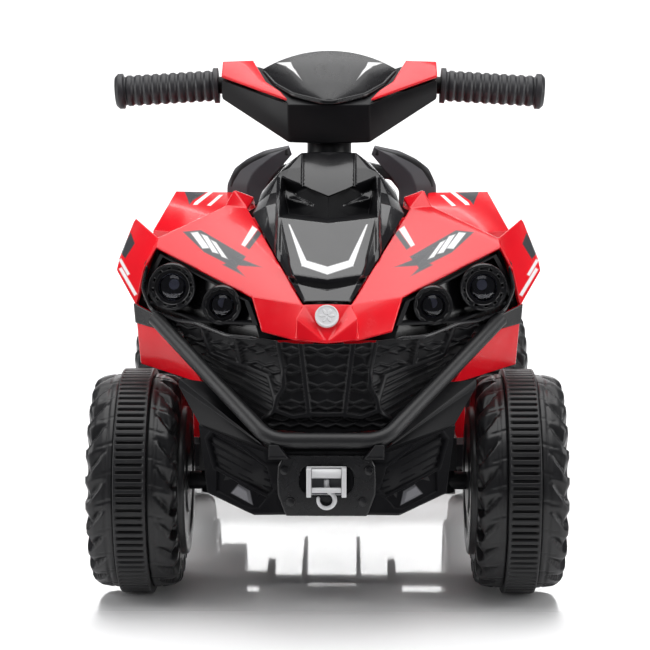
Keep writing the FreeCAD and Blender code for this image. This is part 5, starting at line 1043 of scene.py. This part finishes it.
# %% Console collar and rim
COLLAR_LOW = [(0.0, -112.2, 431.6), (37.0, -108.2, 431.8), (45.0, -97.0, 440.6), (58.0, -82.8, 448.6),
              (71.5, -54.0, 466.6), (71.5, -24.5, 460.6)]
COLLAR_HIGH = [(0.0, -103.0, 438.5), (29.0, -92.0, 441.5), (42.0, -80.0, 447.0), (49.0, -70.0, 453.0),
               (54.0, -56.0, 461.0), (52.0, -38.0, 461.0)]
DOME_LIP = [(60.0, -42.0, 461.4), (62.2, -60.0, 460.8), (50.4, -80.8, 449.0), (33.4, -98.8, 440.2),
            (5.0, -114.6, 434.2), (-5.0, -114.6, 434.2), (-33.4, -98.8, 440.2), (-50.4, -80.8, 449.0),
            (-62.2, -60.0, 460.8), (-60.0, -42.0, 461.4)]
collar = patch(COLLAR_LOW, COLLAR_HIGH, [0.0, 0.36, 0.52, 0.68, 0.88, 1.0], 141, 18)
wear(thicken(surface("console_collar", collar * MM), 1.0 * MM), node_body["console_base"], "black_satin", satin_black)
wear(swept("dome_lip", DOME_LIP, 4.4, 2.4, ease=1), node_body["console_dome"], "black_gloss", gloss_black)
print("collar and rim in place")

# %% [markdown]
# ## Backrest arms
# Two curved arms rise from the rear fenders to the backrest. Each has a ridge, so one side is lit and the other dark.
# A swept rod would be round, so straight spans join three lines instead: an outer edge, the ridge and an inner edge.
# Their black is lighter than the backrest's: painted light on the arms.

# %% Backrest arms
ARM = np.array([[(112.0, 206.0, 316.0), (111.8, 206.0, 335.5), (103.8, 207.0, 352.4), (89.9, 208.0, 362.9),
                 (72.1, 209.0, 371.3), (46.0, 209.0, 376.8)],
                [(90.0, 197.0, 314.0), (88.9, 197.0, 335.0), (83.6, 198.0, 347.4), (77.4, 199.0, 354.4),
                 (62.7, 201.0, 366.1), (45.0, 205.0, 375.0)],
                [(74.0, 203.0, 314.0), (71.6, 203.0, 331.0), (65.4, 203.0, 341.4), (58.6, 203.5, 349.0),
                 (51.0, 204.0, 357.4), (42.4, 206.0, 367.4)]])


def arm(name, side):
    """P(t, v): straight spans between an outer edge, a ridge that stands forward and an inner edge."""
    t = np.linspace(0.0, 5.0, 81)
    lines = np.stack([[np.interp(t, np.arange(6.0), line[:, k]) for k in range(3)] for line in ARM])
    for _ in range(10):
        lines[..., 1:-1] = (lines[..., :-2] + 2.0 * lines[..., 1:-1] + lines[..., 2:]) / 4.0
    v = np.linspace(0.0, 2.0, 25)
    share = np.stack([np.interp(v, np.arange(3.0), row) for row in np.eye(3)], axis=-1)
    points = np.einsum("vl,lkt->tvk", share, lines) * [side, 1.0, 1.0]
    return thicken(surface(name, points * MM, flip=side > 0), 3.0 * MM)


for side_name, side in (("left", 1.0), ("right", -1.0)):
    wear(arm(f"backrest_arm_{side_name}", side), node_body["backrest"], node_slot["backrest"], arm_lit_black)
print("arms in place")

# %% [markdown]
# ## Knee panels
# Where the rider's knees rest, the side panels carry a raised plate with slots. The front view does not show it, so
# this is a guess at a plain one. A height on the side's own plane keeps the plate seated however the side leans.

# %% Knee panels
KNEE_LOW, KNEE_HIGH = 172.0, 252.0
KNEE_BACK = 97.0
SIDE_FOOT = 112.3
KNEE_SLOT_PITCH = 19.0


def knee_panel(name, side):
    """P(s, t) = (x(y, z) + h, y, z): x is the outer of the side's two planes, h a bevelled plate with slots."""
    t = np.linspace(0.0, 1.0, 80)[:, None]
    s = np.linspace(0.0, 1.0, 140)[None, :]
    z = KNEE_LOW + (KNEE_HIGH - KNEE_LOW) * t + 0.0 * s
    rise, climb = z - SIDE_FOOT, z - KNEE_LOW
    front = -70.0 + 0.5075 * rise
    y = front + s * (KNEE_BACK - front)
    plane = np.maximum(76.0 - 0.02744 * rise, 76.0 + 0.0714 * (y - 104.6) + 0.02672 * rise)
    margin = np.minimum(np.minimum(y - front, KNEE_BACK - y), np.minimum(climb, KNEE_HIGH - z))
    slot = np.abs((y - 0.5 * climb) % KNEE_SLOT_PITCH - KNEE_SLOT_PITCH / 2.0)
    cut = 1.5 * (1.0 - smooth_step(1.4, 2.4, slot)) * smooth_step(11.0, 13.0, margin) * (y > 34.0 + 0.2 * climb)
    height = 0.3 + 2.0 * smooth_step(0.0, 3.0, margin) - cut
    return surface(name, np.stack([(plane + height) * side, y, z], axis=-1) * MM, flip=side < 0)


for side_name, side in (("left", 1.0), ("right", -1.0)):
    piece = thicken(knee_panel(f"knee_panel_{side_name}", side), 0.6 * MM)
    wear(piece, node_body["body_side_panels"], node_slot["body_side_panels"], red_body)
print("knee panels in place")

# %% [markdown]
# ## Winch
# A toy winch sits in the nose: a plate with bolts, a silver fairlead with rollers, and a hook. The plate's recess
# could be cut, but a sunk height leaves a soft rim, as in the mould. The hook is a rod that tapers to its tip.

# %% Winch plate and hook
PLATE_EDGE = [(100.2, 33.5), (104.0, 35.6), (118.0, 40.6), (130.0, 41.0), (142.0, 40.4), (148.0, 37.4), (151.0, 34.0)]
PLATE_FACE = -327.3
ROLLER_HEIGHT = 130.5
PLATE_RECESS = 3.0
HOOK_BEND = 6.9
HOOK_ROD = 4.6


def winch_face():
    """P(s, t) = (s w(t), y - recess, z(t)): w follows the plate's edge, and an oval recess holds the rollers."""
    s = np.linspace(-1.0, 1.0, 161)[None, :]
    heights, halves = np.array(PLATE_EDGE).T
    z = np.linspace(heights[0], heights[-1], 100)[:, None]
    x = s * np.interp(z, heights, halves)
    oval = np.hypot(np.maximum(np.abs(x) - 12.0, 0.0), np.maximum(np.abs(z - ROLLER_HEIGHT) - 2.0, 0.0))
    recess = PLATE_RECESS * (1.0 - smooth_step(9.6, 11.2, oval))
    edge = 0.9 * smooth_step(0.965, 1.0, np.abs(s)) + 0.0 * z
    return np.stack([x, PLATE_FACE + recess + edge, z + 0.0 * s], axis=-1)


face = thicken(surface("winch_plate_face", winch_face() * MM), 1.4 * MM)
wear(face, node_body["winch_plate"], "black_gloss", gloss_black, "winch_plate")
low, high = (np.array(corner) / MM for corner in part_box("winch_hook"))
turn = np.radians(np.linspace(70.0, -205.0, 30))
bend = np.stack([HOOK_BEND * np.cos(turn), 0.0 * turn, HOOK_BEND * np.sin(turn)], axis=-1)
bend = bend + [0.0, (low[1] + high[1]) / 2.0, low[2] + 9.3]
shank = np.array([[0.0, bend[0, 1], high[2] - 0.4], [0.0, bend[0, 1], high[2] - 6.0]])
hook = swept("winch_hook_rod", np.concatenate([shank, bend]), HOOK_ROD, HOOK_ROD, steps=4, taper=0.62)
wear(hook, node_body["winch_hook"], "silver_trim", silver, "winch_hook")
print("winch dressed")

# %% [markdown]
# ## Bumper clips
# A wedge laps over the bumper bar on each side of the winch, where the guard holds it. A box with a bevel would show
# square ends. A closed profile carried along x gives the slant, and its ends shrink to a point.

# %% Bumper clips
CLIP = np.array([(-326.5, 157.0), (-331.6, 161.4), (-337.6, 151.8), (-336.2, 149.6), (-326.5, 148.0),
                 (-326.5, 157.0)])
CLIP_INNER, CLIP_OUTER = 31.0, 47.6


def clip(name, side):
    """P(s, t) = (x(s, z), y(t), z(t)): a wedge over the bumper bar, its inner end slanted and both ends closed."""
    profile = along_profile(CLIP, 41)[:-1]
    middle = profile.mean(axis=0)
    s = np.concatenate([[0.0], np.linspace(0.0, 1.0, 12), [1.0]])[None, :, None]
    shrink = np.concatenate([[0.0], np.ones(12), [0.0]])[None, :, None]
    spots = middle + (profile[:, None] - middle) * shrink
    inner = CLIP_INNER + 0.8 * (spots[..., 1:] - 150.0)
    points = np.concatenate([(inner + (CLIP_OUTER - inner) * s) * side, spots], axis=-1)
    return surface(name, points * MM, close_rows=True, flip=side > 0, weld=True)


for side_name, side in (("left", 1.0), ("right", -1.0)):
    wear(clip(f"bumper_clip_{side_name}", side), "frame", "black_satin", satin_black)
print("clips in place")

# %% [markdown]
# ## The studio
# Toys are photographed on a white sweep: a floor that turns up into a wall, so that no horizon shows. A plane and a
# white world could stand for it, but the wall also throws light on the bike's back. The floor is polished, with a
# dull strip in front, so that the bike mirrors in it.

# %% Sweep


def sweep():
    """A floor that turns up into a wall: z(v) is flat, then a quarter arc, then upright."""
    v = np.linspace(0.0, 1.0, 60)
    arc = np.clip((v - 0.6) / 0.2, 0.0, 1.0) * math.pi / 2.0
    run = np.minimum(v / 0.6, 1.0) * 4.3 - 0.8
    y = run + np.sin(arc) * 1.5
    z = (1.0 - np.cos(arc)) * 1.5 + np.clip((v - 0.8) / 0.2, 0.0, 1.0) * 3.0
    x = np.linspace(-6.0, 6.0, 30)[:, None]
    spots = np.stack([x + 0.0 * y, y + 0.0 * x, z + 0.0 * x - 0.0003], axis=-1)
    return surface("studio_sweep", spots, flip=True)


def floor_finish():
    """A white lacquer: polished, and dull in a strip in front of the bike."""
    graph = Graph(bpy.data.materials.new("studio_floor"))
    where, (x, y, z) = graph.place()
    cloud = graph.noise(where, 1.5)
    dull = (-y).between(0.215, 0.36)
    graph.set(Base_Color=graph.mix(cloud, (0.95, 0.95, 0.95, 1.0), (0.97, 0.97, 0.97, 1.0)),
              Roughness=cloud * 0.02 + 0.03 + dull * 0.7, IOR=2.2)
    return graph.owner


floor = sweep()
floor.data.materials.append(floor_finish())
print("sweep in place")

# %% [markdown]
# ## Lights
# Glossy plastic shows its lamps as bright shapes, so the lamps are large and soft. One wide light hangs overhead, two
# tall ones stand beside the bike and draw its edges, a weak one fills the front, and one washes the wall. The world
# is white to the camera and dim to everything else, because a white world would grey the blacks.

# %% Lights


def soft_light(name, power, width, height, place, target):
    """An area light at a place, turned so that its -Z looks at the target."""
    lamp = bpy.data.lights.new(name, "AREA")
    lamp.shape = "RECTANGLE"
    lamp.size, lamp.size_y = width, height
    lamp.energy = power
    item = bpy.data.objects.new(name, lamp)
    item.location = place
    aim = np.array(target) - np.array(place)
    item.rotation_euler = (math.atan2(math.hypot(aim[0], aim[1]), -aim[2]), 0.0, math.atan2(-aim[0], aim[1]))
    bpy.context.scene.collection.objects.link(item)
    return item


soft_light("overhead", 56.0, 2.0, 2.9, (0.0, -0.25, 2.3), (0.0, -0.25, 0.2))
soft_light("left_tall", 26.0, 0.9, 1.8, (-2.0, -0.75, 1.0), (0.0, -0.1, 0.3))
soft_light("right_tall", 26.0, 0.9, 1.8, (2.0, -0.75, 1.0), (0.0, -0.1, 0.3))
soft_light("front_fill", 4.0, 1.6, 0.9, (0.0, -3.2, 1.7), (0.0, -0.2, 0.3))
soft_light("backdrop_wash", 190.0, 5.0, 1.2, (0.0, 1.7, 2.9), (0.0, 4.6, 0.6))

sky = Graph(bpy.data.worlds.new("studio"))
bpy.context.scene.world = sky.owner
seen = sky.make("ShaderNodeLightPath", "Is Camera Ray")
sky.set(Color=sky.mix(seen, (0.10, 0.10, 0.11, 1.0), (1.0, 1.0, 1.0, 1.0)), Strength=1.0)
print("lights in place")

# %% [markdown]
# ## Camera
# The camera stands where the photographer stood: in front, a little above the nose and a little to the right. Placing
# it by eye would leave the outlines apart, so its place, its tilt and its focal length were fitted to the wheels, the
# grips and the fenders.

# %% Camera
PHOTO_WIDTH = 650.0
FOCAL_PIXELS = 2048.8
TILT, TURN = 8.235, 0.63
lens = bpy.data.cameras.new("front_view")
lens.sensor_width = 36.0
lens.lens = FOCAL_PIXELS * lens.sensor_width / PHOTO_WIDTH
eye = bpy.data.objects.new("front_view", lens)
eye.location = (0.017, -1.987, 0.5005)
eye.rotation_euler = (math.radians(90.0 - TILT), 0.0, math.radians(TURN))
bpy.context.scene.collection.objects.link(eye)
bpy.context.scene.camera = eye
bpy.context.scene.view_settings.view_transform = "Standard"
print("camera in place")
